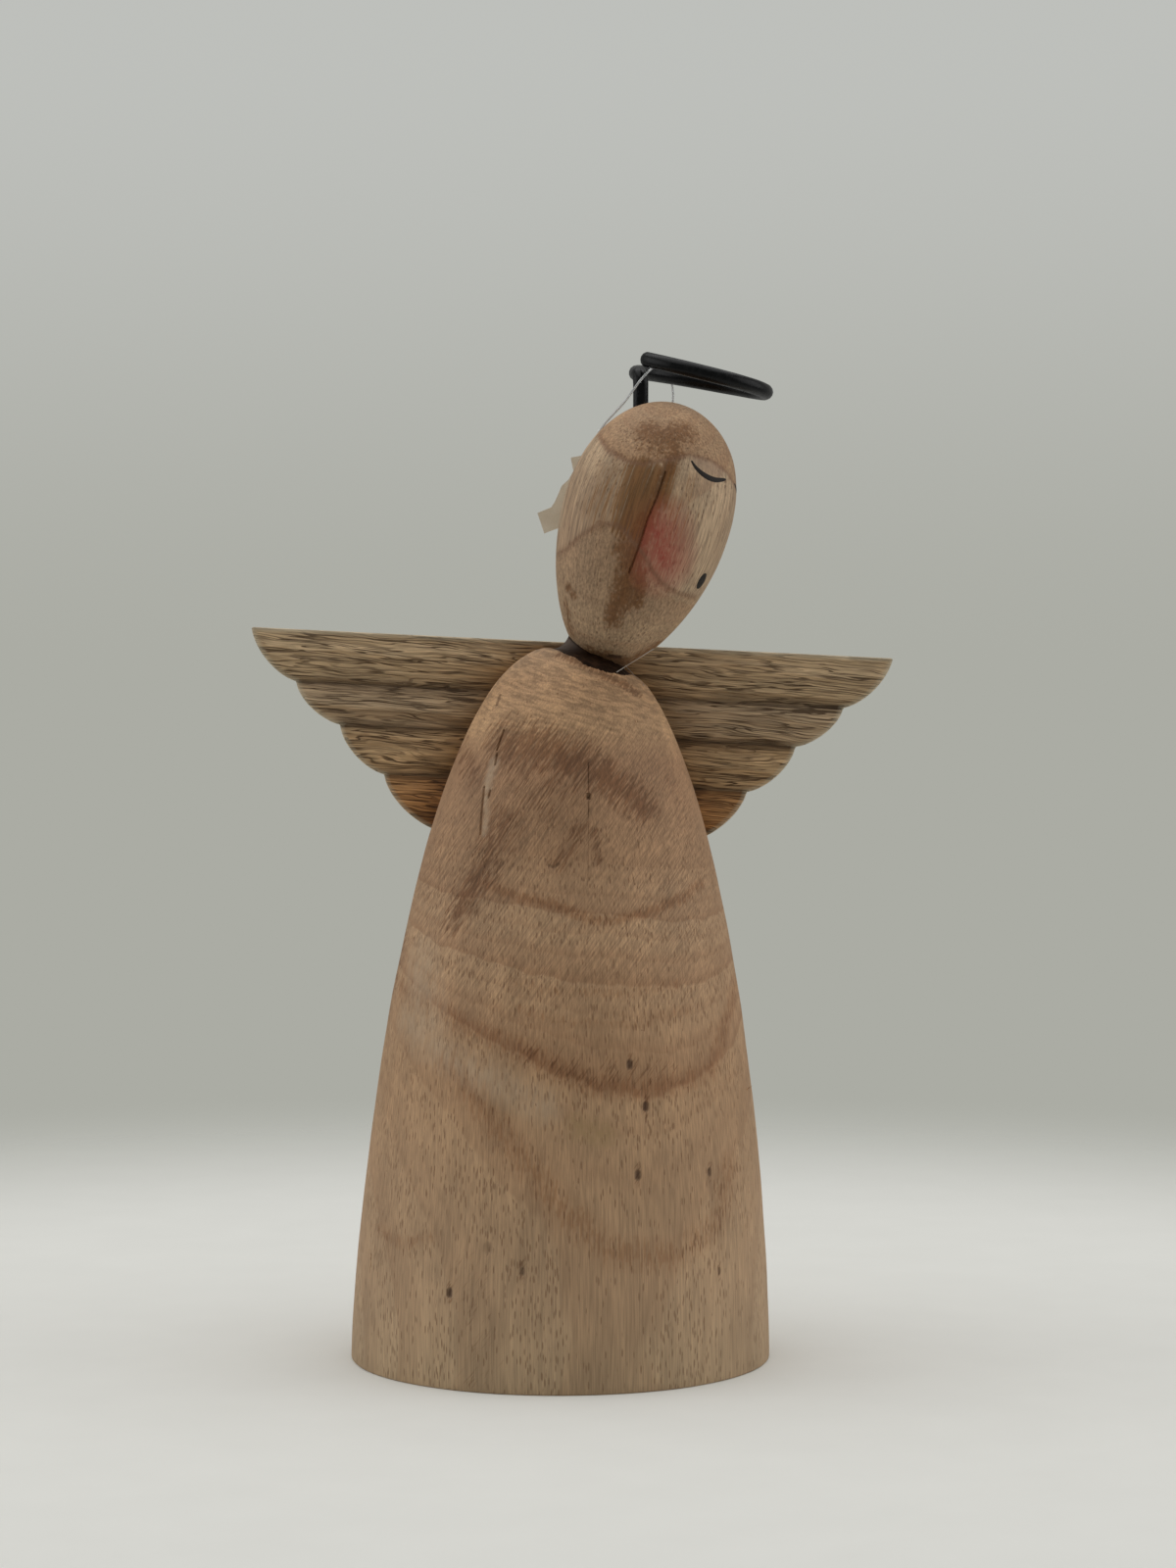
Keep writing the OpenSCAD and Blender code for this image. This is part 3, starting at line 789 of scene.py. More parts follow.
# Under the chin the body is painted dark: partly a real stain, partly painted shade of the gap between head
# and body.
neck_stain_and_shade = line_on(body_tree, NECK_STAIN_AND_SHADE)
paint(body_bm, "dark", neck_stain_and_shade, NECK_STAIN_AND_SHADE_REACH * MM, NECK_STAIN_AND_SHADE_STRENGTH, BODY_SOFTNESS)
print("body faces with marks:", len(body_bm.faces))

# %% [markdown]
# The camera never sees the back, but a library part is turned round, so it gets a few knots, checks and
# stains of the same kind. They are placed by an angle round the body and a height.

# %% Marks at the back
BACK_KNOTS = [(62, 48, 0.6), (118, 92, 0.7), (96, 24, 0.5), (8, 70, 0.55), (172, 38, 0.6), (150, 66, 0.45)]
BACK_KNOT_HALF = 0.6
BACK_KNOT_STEPS = 2
BACK_STREAK_HALF = 3
BACK_STREAK_STEPS = 6
BACK_STREAK_REACH = 1.1
BACK_CHECKS = [((84, 12), (86, 52)), ((128, 6), (127, 30)), ((20, 96), (21, 112))]
BACK_CHECK_SIZES = (0.18, 0.3, 0.8)
CHECK_STEPS_PER_MM = 3
BACK_STAINS = [((70, 60), (80, 84), 7, 0.5), ((140, 20), (120, 44), 8, 0.45), ((188, 88), (176, 60), 6, 0.5),
               ((2, 30), (10, 52), 7, 0.4)]
BACK_STAIN_STEPS = 9


def spot_round(tree, angle, z):
    """Point of the body at an angle round its axis and a height in millimetres."""
    way = way_at(angle)
    start = on_body @ ((way * BODY_D + Vector((0, 0, z))) * MM)
    return tree.ray_cast(start, on_body.to_3x3() @ -way)[0]


def line_round(tree, start, end, steps):
    """Points of the body on a line between two places, each an angle and a height."""
    (angle, z), (end_angle, end_z) = start, end
    shares = [k / steps for k in range(steps + 1)]
    return [spot_round(tree, angle + (end_angle - angle) * s, z + (end_z - z) * s) for s in shares]


for angle, z, size in BACK_KNOTS:
    low, high = z - BACK_KNOT_HALF, z + BACK_KNOT_HALF
    knot = line_round(body_tree, (angle, low), (angle, high), BACK_KNOT_STEPS)
    low, high = z - BACK_STREAK_HALF, z + BACK_STREAK_HALF
    streak = line_round(body_tree, (angle, low), (angle, high), BACK_STREAK_STEPS)
    crack(body_bm, knot, size, KNOT_DEPTH)
    paint(body_bm, "stain", streak, BACK_STREAK_REACH * MM)
for start, end in BACK_CHECKS:
    check = line_round(body_tree, start, end, round((end[1] - start[1]) * CHECK_STEPS_PER_MM))
    crack(body_bm, check, *BACK_CHECK_SIZES)
for start, end, reach, strength in BACK_STAINS:
    stain = line_round(body_tree, start, end, BACK_STAIN_STEPS)
    paint(body_bm, "stain", stain, reach * MM, strength, BODY_SOFTNESS)
print("body faces with marks at the back:", len(body_bm.faces))

# %% [markdown]
# ## Cuts for the wings, the dowel and the brads
# On the bench the turned body gets a flat notch for the wing board, a bore for the neck dowel and two small
# holes for the brads. Boolean modifiers are the drill and the saw here: each cutter is a simple closed shape,
# and the modifiers are applied at once, so that the piece keeps a plain mesh.

# %% Cutters
WING_H = 43
WING_CLEAR = 0.2
DOWEL_BORE_D = 6.2
DOWEL_DEPTH = 13.5
WING_T = 10
WING_GLUE_T = 0.3
BRAD_HOLE_D = 1.68
BRAD_HEAD_D = 3.68
BRAD_HEAD_T = 0.8
BRAD_LEN = 23.5
BRAD_PITCH = 13
BRAD_DROP = 25
WING_BACK = WING_GLUE_T + WING_T
OVERRUN = 1
CUTTER_SIDES = 32


def box_cutter(low, high, place):
    """A closed box between two corners."""
    bm = bmesh.new()
    size = Vector(high) - Vector(low)
    centre = Matrix.Translation(Vector(low) + size / 2)
    bmesh.ops.create_cube(bm, size=1, matrix=centre @ Matrix.Diagonal((*size, 1)))
    set_down(bm, place)
    return bm


def round_cutter(diameter, start, end, place):
    """A closed cylinder along the place's Z axis, between two heights."""
    bm = bmesh.new()
    bmesh.ops.create_cone(bm, cap_ends=True, segments=CUTTER_SIDES, radius1=diameter / 2,
                          radius2=diameter / 2, depth=end - start,
                          matrix=Matrix.Translation((0, 0, (start + end) / 2)))
    set_down(bm, place)
    return bm


def cut_out(piece, cutters):
    """Takes each cutter out of a piece, and leaves the result as the piece's plain mesh."""
    tools = []
    for bm in cutters:
        mesh = bpy.data.meshes.new("cutter")
        bm.to_mesh(mesh)
        bm.free()
        tool = bpy.data.objects.new("cutter", mesh)
        bpy.context.scene.collection.objects.link(tool)
        saw = piece.modifiers.new("saw", "BOOLEAN")
        saw.object = tool
        saw.operation = "DIFFERENCE"
        saw.solver = "EXACT"
        tools.append(tool)
    cut = bpy.data.meshes.new_from_object(piece.evaluated_get(bpy.context.evaluated_depsgraph_get()))
    piece.modifiers.clear()
    piece.data = cut
    for tool in tools:
        bpy.data.objects.remove(tool)
    print(piece.name, "faces after", len(cutters), "cuts:", len(cut.polygons))


brad_places = []
for side in (-1, 1):
    brad_places.append(on_wing @ shift(side * BRAD_PITCH / 2, WING_BACK, -BRAD_DROP) @ turn(90, "X"))

# %% Finished body
body = new_piece("turned_body", body_bm, body_wood, "figure", "body_wood", ["body"])
notch = box_cutter((-BODY_D / 2, 0, -WING_H - WING_CLEAR), (BODY_D / 2, BODY_D / 2, BODY_H / 2), on_wing)
dowel_hole = round_cutter(DOWEL_BORE_D, -DOWEL_DEPTH, OVERRUN, on_neck)
body_drills = [round_cutter(BRAD_HOLE_D, WING_BACK - OVERRUN, BRAD_LEN, place) for place in brad_places]
cut_out(body, [notch, dowel_hole, *body_drills])

# %% [markdown]
# ## The head's wood and paint
# The egg was turned with the grain along its axis. Its pith slants through it, so a brown cap shows at the
# crown and an arc lies lower down. The paint is thin: rosy cheeks rubbed in with a dry brush and a brown wash
# on the closed lids. Those soft colours belong in the material, and the sharp strokes of the lashes and the
# mouth become small pieces of their own later.

# %% Head wood
HEAD_PITH = Vector((-1.3, -1.7, 0))
HEAD_PITH_WAY = Vector((-0.095, -0.193, 1))
CAP_TONE = (0.88, 0.78, 0.69, 1)
LOWER_TONE = (0.87, 0.83, 0.78, 1)
STREAK_SIZE = (0.42, 0.42, 9)
STREAK_COLOUR = (0.2, 0.095, 0.032, 1)
BLOTCH_SIZE = (0.7, 0.7, 1.2)
BLOTCH_SHARE = 0.92
BLOTCH_COLOUR = (0.165, 0.066, 0.017, 1)
SPECKLE_SIZE = (0.45, 0.45, 0.8)
LID_COLOUR = (0.33, 0.215, 0.145, 1)
ROUGE_SIZE = (0.4, 0.4, 1.2)
ROUGE_COLOUR = (0.36, 0.07, 0.045, 1)
EDGE_COLOUR = (0.2, 0.1, 0.055, 1)
CRACK_COLOUR = (0.05, 0.022, 0.012, 1)

head_pith = pith_frame(on_head, HEAD_PITH, HEAD_PITH_WAY)
head_wood, tree, shader, local, colour, height = start_wood(
    "pale egg wood", head_pith, (0.49, 0.348, 0.22, 1), (0.43, 0.285, 0.175, 1), (0.26, 0.16, 0.095, 1),
    ring_spacing=4.1, ring_start=12.1, wobble=0.3, fibre_size=(0.3, 0.3, 8), pore_size=(0.5, 0.5, 2.2),
    pore_share=0.5)
egg_axes = own_axes(tree, on_head)
along = vectors(tree, "MULTIPLY", egg_axes, (0, 0, 1))
outward = vectors(tree, "NORMALIZE", vectors(tree, "MULTIPLY", egg_axes, (1, 1, 0)))
outward = put(tree, "VectorMath", {0: outward, "Scale": HEAD_D / 2}, operation="SCALE").outputs[0]
skin = vectors(tree, "ADD", outward, along)
rough_ends = sums(tree, "MAXIMUM", mark(tree, "lower"), mark(tree, "cap"))
colour = tinted(tree, colour, CAP_TONE, mark(tree, "cap"))
colour = tinted(tree, colour, LOWER_TONE, mark(tree, "lower"))
colour = mix(tree, ragged(tree, mark(tree, "streak"), skin, STREAK_SIZE, 0.25), colour, STREAK_COLOUR)
blotches = ragged(tree, mark(tree, "stain"), local, BLOTCH_SIZE, 0.5)
colour = mix(tree, sums(tree, "MULTIPLY", blotches, BLOTCH_SHARE), colour, BLOTCH_COLOUR)
speckle = ramp(tree, clouds(tree, local, SPECKLE_SIZE), 0.35, 0.65, 0.82, 1.16)
fibres = ramp(tree, clouds(tree, skin, STREAK_SIZE, 3), 0.36, 0.64, 0.74, 1.2)
colour = tinted(tree, colour, mix(tree, rough_ends, fibres, speckle))
colour = mix(tree, mark(tree, "lid"), colour, LID_COLOUR)
colour = mix(tree, broken(tree, mark(tree, "blush"), local, ROUGE_SIZE, 0.7), colour, ROUGE_COLOUR)
colour = mix(tree, mark(tree, "line"), colour, EDGE_COLOUR)
colour = mix(tree, mark(tree, "dark"), colour, CRACK_COLOUR)
end_wood(tree, shader, colour, height, 0.14, 0.62)
print("head wood nodes:", len(tree.nodes))


# %% [markdown]
# ## The egg
# The egg is spun from a formula too: an ellipse whose radius grows a little towards the crown. One slice is
# taken off at the chin, where it is glued to the body.

# %% Spun egg
HEAD_ROWS = 190
HEAD_HALF_STEPS = 150
HEAD_WAVES = [(14, 0.16), (5, 0.04)]


def egg_point(angle):
    """Radius and height of the egg's outline at an angle in radians down from the crown."""
    radius = HEAD_D / 2 * math.sin(angle) * (1 + HEAD_TAPER * math.cos(angle))
    return radius, HEAD_LEN / 2 * math.cos(angle)


egg_outline = [egg_point(math.pi * i / HEAD_ROWS) for i in range(HEAD_ROWS + 1)]
egg_outline[0] = (0, HEAD_LEN / 2)
egg_outline[-1] = (0, -HEAD_LEN / 2)
head_bm = turned(egg_outline, 180, HEAD_HALF_STEPS, HEAD_HALF_STEPS)
uneven(head_bm, HEAD_WAVES)
set_down(head_bm, on_head)
head_axis = on_head.to_3x3() @ Vector((0, 0, 1))
slice_off(head_bm, on_head @ Vector((0, 0, -HEAD_FLAT * MM)), -head_axis)
head_tree = BVHTree.FromBMesh(head_bm)
print("egg faces:", len(head_bm.faces))

# %% [markdown]
# ## Marks on the head
# A drying crack runs down beside the cheek, with brown streaks on both sides. The face looks away to the
# right, so only one eye shows fully. A mirror plane through the head's axis and the mouth carries the lid and
# the cheek to the other side, and later the lash as well.

# %% Face plane
FACE_TURN = 65.5
face_across = way_at(FACE_TURN)


def other_side(point):
    """The same place on the other half of the face."""
    inside = on_head.inverted() @ point
    return on_head @ (inside - 2 * inside.dot(face_across) * face_across)


def both_sides(points):
    return [points, [other_side(point) for point in points]]


# %% Marks of the head
HEAD_CRACK = [(679, 482), (670, 508), (661, 529), (655, 549), (646, 574), (642, 584)]
CHIN_SLIT = [(579, 622), (580, 638)]
CHIN_KNOT = [(622, 670), (632, 671)]
HEAD_CRACKS = [(HEAD_CRACK, 0.3, 0.5, 1), (CHIN_SLIT, 0.22, 0.4, 0.8), (CHIN_KNOT, 0.8, 0.2, 0.9)]
CAP_EDGE = [(575, 420), (611, 445), (621, 459), (639, 470), (656, 474), (676, 470), (705, 464), (726, 470),
            (742, 482), (750, 496)]
LOWER_EDGE = [(568, 566), (578, 560), (594, 545), (613, 534), (633, 537), (645, 552), (657, 566), (664, 580),
              (676, 595), (691, 605), (709, 610)]
HEAD_STAINS = [([(662, 440), (676, 446), (698, 441)], 4, 0.85), ([(686, 452), (690, 464)], 2.4, 0.9),
               ([(660, 455), (680, 460)], 3, 0.6), ([(685, 470), (676, 490), (664, 528), (654, 556)], 1.9, 1),
               ([(646, 566), (642, 586), (634, 612)], 3.6, 1), ([(652, 586), (650, 614)], 2.2, 1),
               ([(630, 610), (626, 632)], 2.6, 0.9), ([(660, 532), (650, 552), (642, 576)], 2.6, 1),
               ([(648, 550), (632, 560)], 2.4, 0.75),
               ([(600, 666), (640, 676), (668, 660)], 2.6, 0.8), ([(580, 600), (585, 607)], 1.5, 0.8),
               ([(577, 615), (583, 645)], 1.6, 0.6)]
HEAD_STREAKS = [([(652, 482), (640, 534)], 4.2, 1), ([(664, 482), (652, 530)], 3, 1),
                ([(686, 478), (676, 512)], 2.2, 0.8), ([(622, 484), (612, 520)], 6, 0.5),
                ([(704, 500), (694, 540)], 5, 0.35)]
HEAD_SOFTNESS = 0.45
EDGE_REACH = 0.75
EDGE_STRENGTH = 0.7
EDGE_STAIN_REACH = 1.8
EDGE_STAIN_STRENGTH = 0.4
EDGE_SOFT_PX = 2
BACK_SOFT_PX = 45
BROW = [(694, 466), (705, 464.5), (726, 470), (742, 482)]
BROW_ROOM = 1.2
BROW_REACH = 0.5
BROW_STRENGTH = 0.6
LID = [(711, 472), (720, 475), (729, 479), (735, 483)]
LID_REACH = 1.7
LID_STRENGTH = 0.6
LID_SOFTNESS = 0.5
CHEEK = [(672, 545), (677, 570)]
BLUSH_REACH = 9.4
BLUSH_STRENGTHS = (1, 0.7)
BLUSH_SOFTNESS = 0.9
BLUSH_LEFT = 0.3


def pixel_of(point):
    """Where the photograph shows a point."""
    seen = camera.matrix_basis.inverted() @ point
    return PHOTO_W / 2 - FOCAL_PX * seen.x / seen.z, PHOTO_H / 2 + FOCAL_PX * seen.y / seen.z


def height_at(pixels, px):
    """Height in the photograph of a line of pixels, level before its start and past its end."""
    for (ax, ay), (bx, by) in zip(pixels, pixels[1:]):
        if px <= bx:
            return ay + (by - ay) * max(0, (px - ax) / (bx - ax))
    return pixels[-1][1]


def clamped(value):
    return min(1, max(0, value))


def paint_side(bm, name, pixels, sign):
    """Paints all above a line of pixels (sign -1) or below it (sign 1), softly where it is unseen."""
    layer = bm.verts.layers.float.get(name) or bm.verts.layers.float.new(name)
    bm.normal_update()
    for vert in bm.verts:
        px, py = pixel_of(vert.co)
        away = max(0, vert.normal.dot((vert.co - CAMERA_PLACE).normalized()))
        past = sign * (py - height_at(pixels, px)) / (EDGE_SOFT_PX + BACK_SOFT_PX * away)
        vert[layer] = clamped(0.5 + past / 2)


paint_side(head_bm, "cap", CAP_EDGE, -1)
paint_side(head_bm, "lower", LOWER_EDGE, 1)
crack_lines(head_bm, head_tree, HEAD_CRACKS)
for name, marks in (("stain", HEAD_STAINS), ("streak", HEAD_STREAKS)):
    paint_lines(head_bm, head_tree, name, marks, HEAD_SOFTNESS)
for pixels in (CAP_EDGE, LOWER_EDGE):
    line = line_on(head_tree, pixels)
    paint(head_bm, "line", line, EDGE_REACH * MM, EDGE_STRENGTH)
    paint(head_bm, "stain", line, EDGE_STAIN_REACH * MM, EDGE_STAIN_STRENGTH)
brow = line_on(head_tree, BROW)
refine(head_bm, brow, BROW_ROOM * MM)
paint(head_bm, "line", brow, BROW_REACH * MM, BROW_STRENGTH)
for line in both_sides(line_on(head_tree, LID)):
    paint(head_bm, "lid", line, LID_REACH * MM, LID_STRENGTH, LID_SOFTNESS)
for line, strength in zip(both_sides(line_on(head_tree, CHEEK)), BLUSH_STRENGTHS):
    paint(head_bm, "blush", line, BLUSH_REACH * MM, strength, BLUSH_SOFTNESS)
blush = head_bm.verts.layers.float["blush"]
crack_rows = [(py, px) for px, py in HEAD_CRACK]
for vert in head_bm.verts:
    px, py = pixel_of(vert.co)
    if vert.normal.y < 0 and px < height_at(crack_rows, py):
        vert[blush] *= BLUSH_LEFT
print("egg faces with marks:", len(head_bm.faces))

# %% Finished head
HALO_LEAN = 18.1
HALO_POLAR = 26
HALO_AZIMUTH = 161
HALO_DEPTH = 12
WIRE_D = 3.1
WIRE_SHOWN_D = 3.3
WIRE_CLEAR = 0.05

foot_r, foot_z = egg_point(math.radians(HALO_POLAR))
halo_foot = turn(HALO_AZIMUTH, "Z") @ Vector((foot_r, 0, foot_z))
on_post = on_head @ Matrix.Translation(halo_foot * MM) @ turn(-HALO_LEAN)
head = new_piece("egg_head", head_bm, head_wood, "figure", "head_wood", ["head"])
chin_hole = round_cutter(DOWEL_BORE_D, -HEAD_FLAT - OVERRUN, DOWEL_DEPTH - HEAD_FLAT, on_head)
post_hole = round_cutter(WIRE_SHOWN_D + 2 * WIRE_CLEAR, -HALO_DEPTH, WIRE_D, on_post)
cut_out(head, [chin_hole, post_hole])

# %% [markdown]
# ## Lashes and mouth
# Two thin curved strokes and a dot were painted with a fine brush. A stroke starts as a flat grid: its
# length is bent along the line of the lash, its width swells and tapers like a brush mark, and every vertex
# is then dropped onto the egg. A little height in the middle makes the paint lie on the wood as a bead does.

# %% Dark paint
paint_black, tree, shader, local = new_material("dark brown paint", on_head)
brushed = clouds(tree, local, (0.3, 0.3, 0.3), 3)
fill(tree, shader, {"Base Color": mix(tree, brushed, (0.012, 0.010, 0.009, 1), (0.03, 0.024, 0.02, 1)),
                    "Roughness": ramp(tree, brushed, 0.2, 0.8, 0.4, 0.65), "Specular IOR Level": 0.15})
bumped(tree, shader, brushed, 0.02)


# %% Strokes
STROKE_STEPS = 40
STROKE_ACROSS = 6
STROKE_LEAN = 1.3
STROKE_SWELL = 0.7
STROKE_END = 24
PAINT_LIFT = 0.05
PAINT_SINK = 0.01
LASH = [(705.5, 470.5), (711, 478.5), (720, 486), (730, 490), (741, 489.5)]
LASH_WIDTHS = (0.3, 1.2)


def drop_on(tree, point, off):
    """Nearest place on a piece, raised like a bead of paint that is full at off 0 and ends at off 1."""
    place, normal, _, _ = tree.find_nearest(point)
    return place + normal * (PAINT_LIFT * (1 - off * off) - PAINT_SINK) * MM


def painted(name, bm):
    """Gives a sheet of paint its thickness and makes it a piece."""
    bmesh.ops.solidify(bm, geom=bm.faces[:], thickness=-2 * PAINT_LIFT * MM)
    bmesh.ops.recalc_face_normals(bm, faces=bm.faces)
    new_piece(name, bm, paint_black)


def stroke(name, points, tip_width, full_width):
    """A tapering brush stroke that lies on the head along a line of points."""
    line = smooth_route(points, STROKE_STEPS // (len(points) - 1))
    last = len(line) - 1
    bm = bmesh.new()
    bmesh.ops.create_grid(bm, x_segments=last, y_segments=STROKE_ACROSS, size=1)
    for vert in bm.verts:
        along = (vert.co.x + 1) / 2
        across = vert.co.y
        i = round(along * last)
        way = line[min(i + 1, last)] - line[max(i - 1, 0)]
        side = way.cross(head_tree.find_nearest(line[i])[1]).normalized()
        swell = math.sin(math.pi * along ** STROKE_LEAN) ** STROKE_SWELL
        width = tip_width + (full_width - tip_width) * swell
        width *= math.sqrt(max(0, 1 - along ** STROKE_END))
        vert.co = drop_on(head_tree, line[i] - side * across * width / 2 * MM, across)
    painted(name, bm)


lash_points = [seen_at(head_tree, px, py) for px, py in LASH]
for name, points in zip(("lash_near", "lash_far"), both_sides(lash_points)):
    stroke(name, points, *LASH_WIDTHS)

# %% Mouth
MOUTH = (716, 593)
MOUTH_SIZE = (3.3, 4.3)
MOUTH_SIDES = 40
MOUTH_CUTS = 5

bm = bmesh.new()
bmesh.ops.create_circle(bm, cap_ends=True, cap_tris=True, segments=MOUTH_SIDES, radius=1)
spokes = [edge for edge in bm.edges if not edge.is_boundary]
bmesh.ops.subdivide_edges(bm, edges=spokes, cuts=MOUTH_CUTS)
mouth_centre = seen_at(head_tree, *MOUTH)
mouth_normal = head_tree.find_nearest(mouth_centre)[1]
mouth_across = head_axis.cross(mouth_normal).normalized()
mouth_up = mouth_normal.cross(mouth_across)
for vert in bm.verts:
    aside = mouth_across * vert.co.x * MOUTH_SIZE[0] + mouth_up * vert.co.y * MOUTH_SIZE[1]
    vert.co = drop_on(head_tree, mouth_centre + aside / 2 * MM, vert.co.length)
painted("mouth_dot", bm)

# %% [markdown]
# ## The wing board's wood
# The wings are a coarser, browner wood with dark open pores that run along the span. The grain group works
# along its Z axis, so the wing's axes are turned until Z follows the span. Each feather has a tone of its
# own and the sawn rim is pale. The grooves are darkened by dirt and painted shade, and shade is painted near
# the body.

# %% Wing wood
GRAIN_DIP = 2.5
WING_LINE = (0.6, 1.3, 15)
LINE_WIDTH = 0.06
LINE_COLOUR = (0.085, 0.05, 0.025, 1)
WING_PATCH = (2, 4, 10)
WING_STREAK = (0.6, 0.6, 18)
WING_WAVE = (7, 7, 26)
WAVE_HEIGHT = 5
FEATHER_TONES = [(0.0, (1.07, 1.05, 0.97, 1)), (0.25, (1.0, 0.99, 0.96, 1)), (0.5, (1.07, 0.99, 0.84, 1)),
                 (0.75, (1.12, 0.83, 0.53, 1))]
SHADE_TONE = (0.58, 0.49, 0.38, 1)
GROOVE_DIRT_AND_SHADE_SHARE = 0.75
GROOVE_DIRT_AND_SHADE_COLOUR = (0.07, 0.042, 0.024, 1)
RIM_SIZE = (0.8, 0.8, 2)
RIM_COLOUR = (0.62, 0.54, 0.39, 1)

wing_fibre = on_wing @ shift(0, 60, -140) @ turn(90 + GRAIN_DIP)
wing_wood, tree, shader, local, colour, height = start_wood(
    "coarse brown wood", wing_fibre, (0.56, 0.41, 0.26, 1), (0.40, 0.275, 0.16, 1), (0.1, 0.06, 0.03, 1),
    ring_spacing=5.2, ring_start=0, wobble=2.2, fibre_size=(0.4, 0.4, 11), pore_size=(0.4, 0.4, 12),
    pore_share=0.35)
wave = sums(tree, "MULTIPLY", waves(tree, local, WING_WAVE), WAVE_HEIGHT)
wavy = vectors(tree, "ADD", local, wave)
colour = tinted(tree, colour, ramp(tree, clouds(tree, wavy, WING_STREAK, 3), 0.35, 0.65, 0.82, 1.18))
edge_of_line = sums(tree, "ABSOLUTE", waves(tree, wavy, WING_LINE, 1))
dark_lines = ramp(tree, edge_of_line, LINE_WIDTH, LINE_WIDTH / 3)
patches = ramp(tree, clouds(tree, wavy, WING_PATCH), 0.38, 0.62, 0.3, 0.9)
dark_lines = sums(tree, "MULTIPLY", dark_lines, patches)
colour = mix(tree, dark_lines, colour, LINE_COLOUR)
feather_share = sums(tree, "DIVIDE", mark(tree, "feather"), len(FEATHER_TONES))
colour = tinted(tree, colour, tones(tree, feather_share, FEATHER_TONES, "CONSTANT"))
colour = tinted(tree, colour, SHADE_TONE, mark(tree, "shade"))
# Dirt and painted shade in the grooves: the hollows between the feathers are painted dark brown.
colour = mix(tree, sums(tree, "MULTIPLY", mark(tree, "groove"), GROOVE_DIRT_AND_SHADE_SHARE), colour, GROOVE_DIRT_AND_SHADE_COLOUR)
colour = mix(tree, broken(tree, mark(tree, "rim"), local, RIM_SIZE, 0.8), colour, RIM_COLOUR)
height = sums(tree, "SUBTRACT", height, dark_lines)
end_wood(tree, shader, colour, height, 0.3, 0.64)
print("wing wood nodes:", len(tree.nodes))

# %% [markdown]
# ## The carved wing board
# Both wings are one board. A grid is laid over the outline: every row runs from one edge of the board to the
# other at its own height, and a row's width follows the rounded ends of the four feathers. The crests and
# grooves of the feathers move the rows back and forth, and extruding the whole sheet backwards gives the
# board its thickness.

# %% Wing outline
WING_SPAN = 141.6
FEATHER_SHARES = [(1, 0), (0.854, 0.266), (0.711, 0.478), (0.566, 0.722), (0.38, 1)]
FEATHER_ROWS = 28
FEATHER_ROUND = 4 / 3
WING_COLUMNS = 260
FEATHER_RELIEF = 1.9
FEATHER_FULLNESS = 0.85
TOP_EDGE_CREST = 0.6
LAST_OF_FEATHER = 0.98
GROOVE_FALL = 2.5
FLAT_HALF_W = 10
FLAT_MARGIN = 2
FLAT_FADE = 1.5
REED_DEPTH = 0.35
REED_LENGTH = 12
REED_PITCH = 1.1
REED_RISE = 0.04
RIM_WIDTH = 1.1
RIM_STRENGTH = 0.7
RIM_SOFTNESS = 0.7
RIM_AT_BACK = 0.1
SHADE_WIDTH = 13
WING_ROUND = 0.45
WING_ROUND_STEPS = 2
SHARP_EDGE = 0.9


def wing_row(row):
    """Half width and height of a row, with its feather and how far down that feather it lies."""
    i = min(row // FEATHER_ROWS, len(FEATHER_SHARES) - 2)
    a = math.pi / 2 * (row - i * FEATHER_ROWS) / FEATHER_ROWS
    (px, pz), (qx, qz) = FEATHER_SHARES[i], FEATHER_SHARES[i + 1]
    down = math.sin(a) ** FEATHER_ROUND
    half_width = WING_SPAN / 2 * (px + (qx - px) * (1 - max(math.cos(a), 0) ** FEATHER_ROUND))
    return half_width, -WING_H * (pz + (qz - pz) * down), i, down


def bell_radius(z):
    """Radius of the body at a height of the board."""
    return body_radius(min(BODY_H, BODY_H + WING_TOP + z))


def seat_half_width(z):
    """Half the width of the flat seat at a height of the board, which ends where the body ends."""
    return min(FLAT_HALF_W, math.sqrt(max(0, bell_radius(z) ** 2 - WING_SEAT ** 2)) - FLAT_MARGIN)


wing_rows = FEATHER_ROWS * (len(FEATHER_SHARES) - 1)
print("wing rows:", wing_rows, "lowest in mm:", wing_row(wing_rows)[1])

# %% Carved board
wing_bm = bmesh.new()
bmesh.ops.create_grid(wing_bm, x_segments=WING_COLUMNS, y_segments=wing_rows, size=1)
layers = {name: wing_bm.verts.layers.float.new(name) for name in ("feather", "groove", "shade", "rim")}
for vert in wing_bm.verts:
    across = vert.co.x
    half_width, z, feather, down = wing_row(round((1 - vert.co.y) / 2 * wing_rows))
    x = across * half_width
    carved = clamped((abs(x) - seat_half_width(z)) / FLAT_FADE)
    crest = math.sin(math.pi * down) ** FEATHER_FULLNESS
    if feather == 0 and down < 0.5:
        crest = max(crest, TOP_EDGE_CREST)
    reeds = REED_DEPTH * noise.noise((x / REED_LENGTH, 0, z / REED_PITCH + x * REED_RISE))
    vert[layers["feather"]] = feather + min(down, LAST_OF_FEATHER)
    # The groove mark holds dirt and painted shade, darkest at the foot of each carved feather.
    vert[layers["groove"]] = carved * (1 - crest) ** GROOVE_FALL
    vert[layers["shade"]] = clamped(1 - (abs(x) - bell_radius(z)) / SHADE_WIDTH) ** 2
    vert.co = (x, WING_GLUE_T + carved * (FEATHER_RELIEF * (1 - crest) + reeds), z)
wing_rim = [vert.co.copy() for vert in wing_bm.verts if vert.is_boundary]
paint(wing_bm, "rim", wing_rim, RIM_WIDTH, RIM_STRENGTH, RIM_SOFTNESS)
back = bmesh.ops.extrude_face_region(wing_bm, geom=wing_bm.faces[:])["geom"]
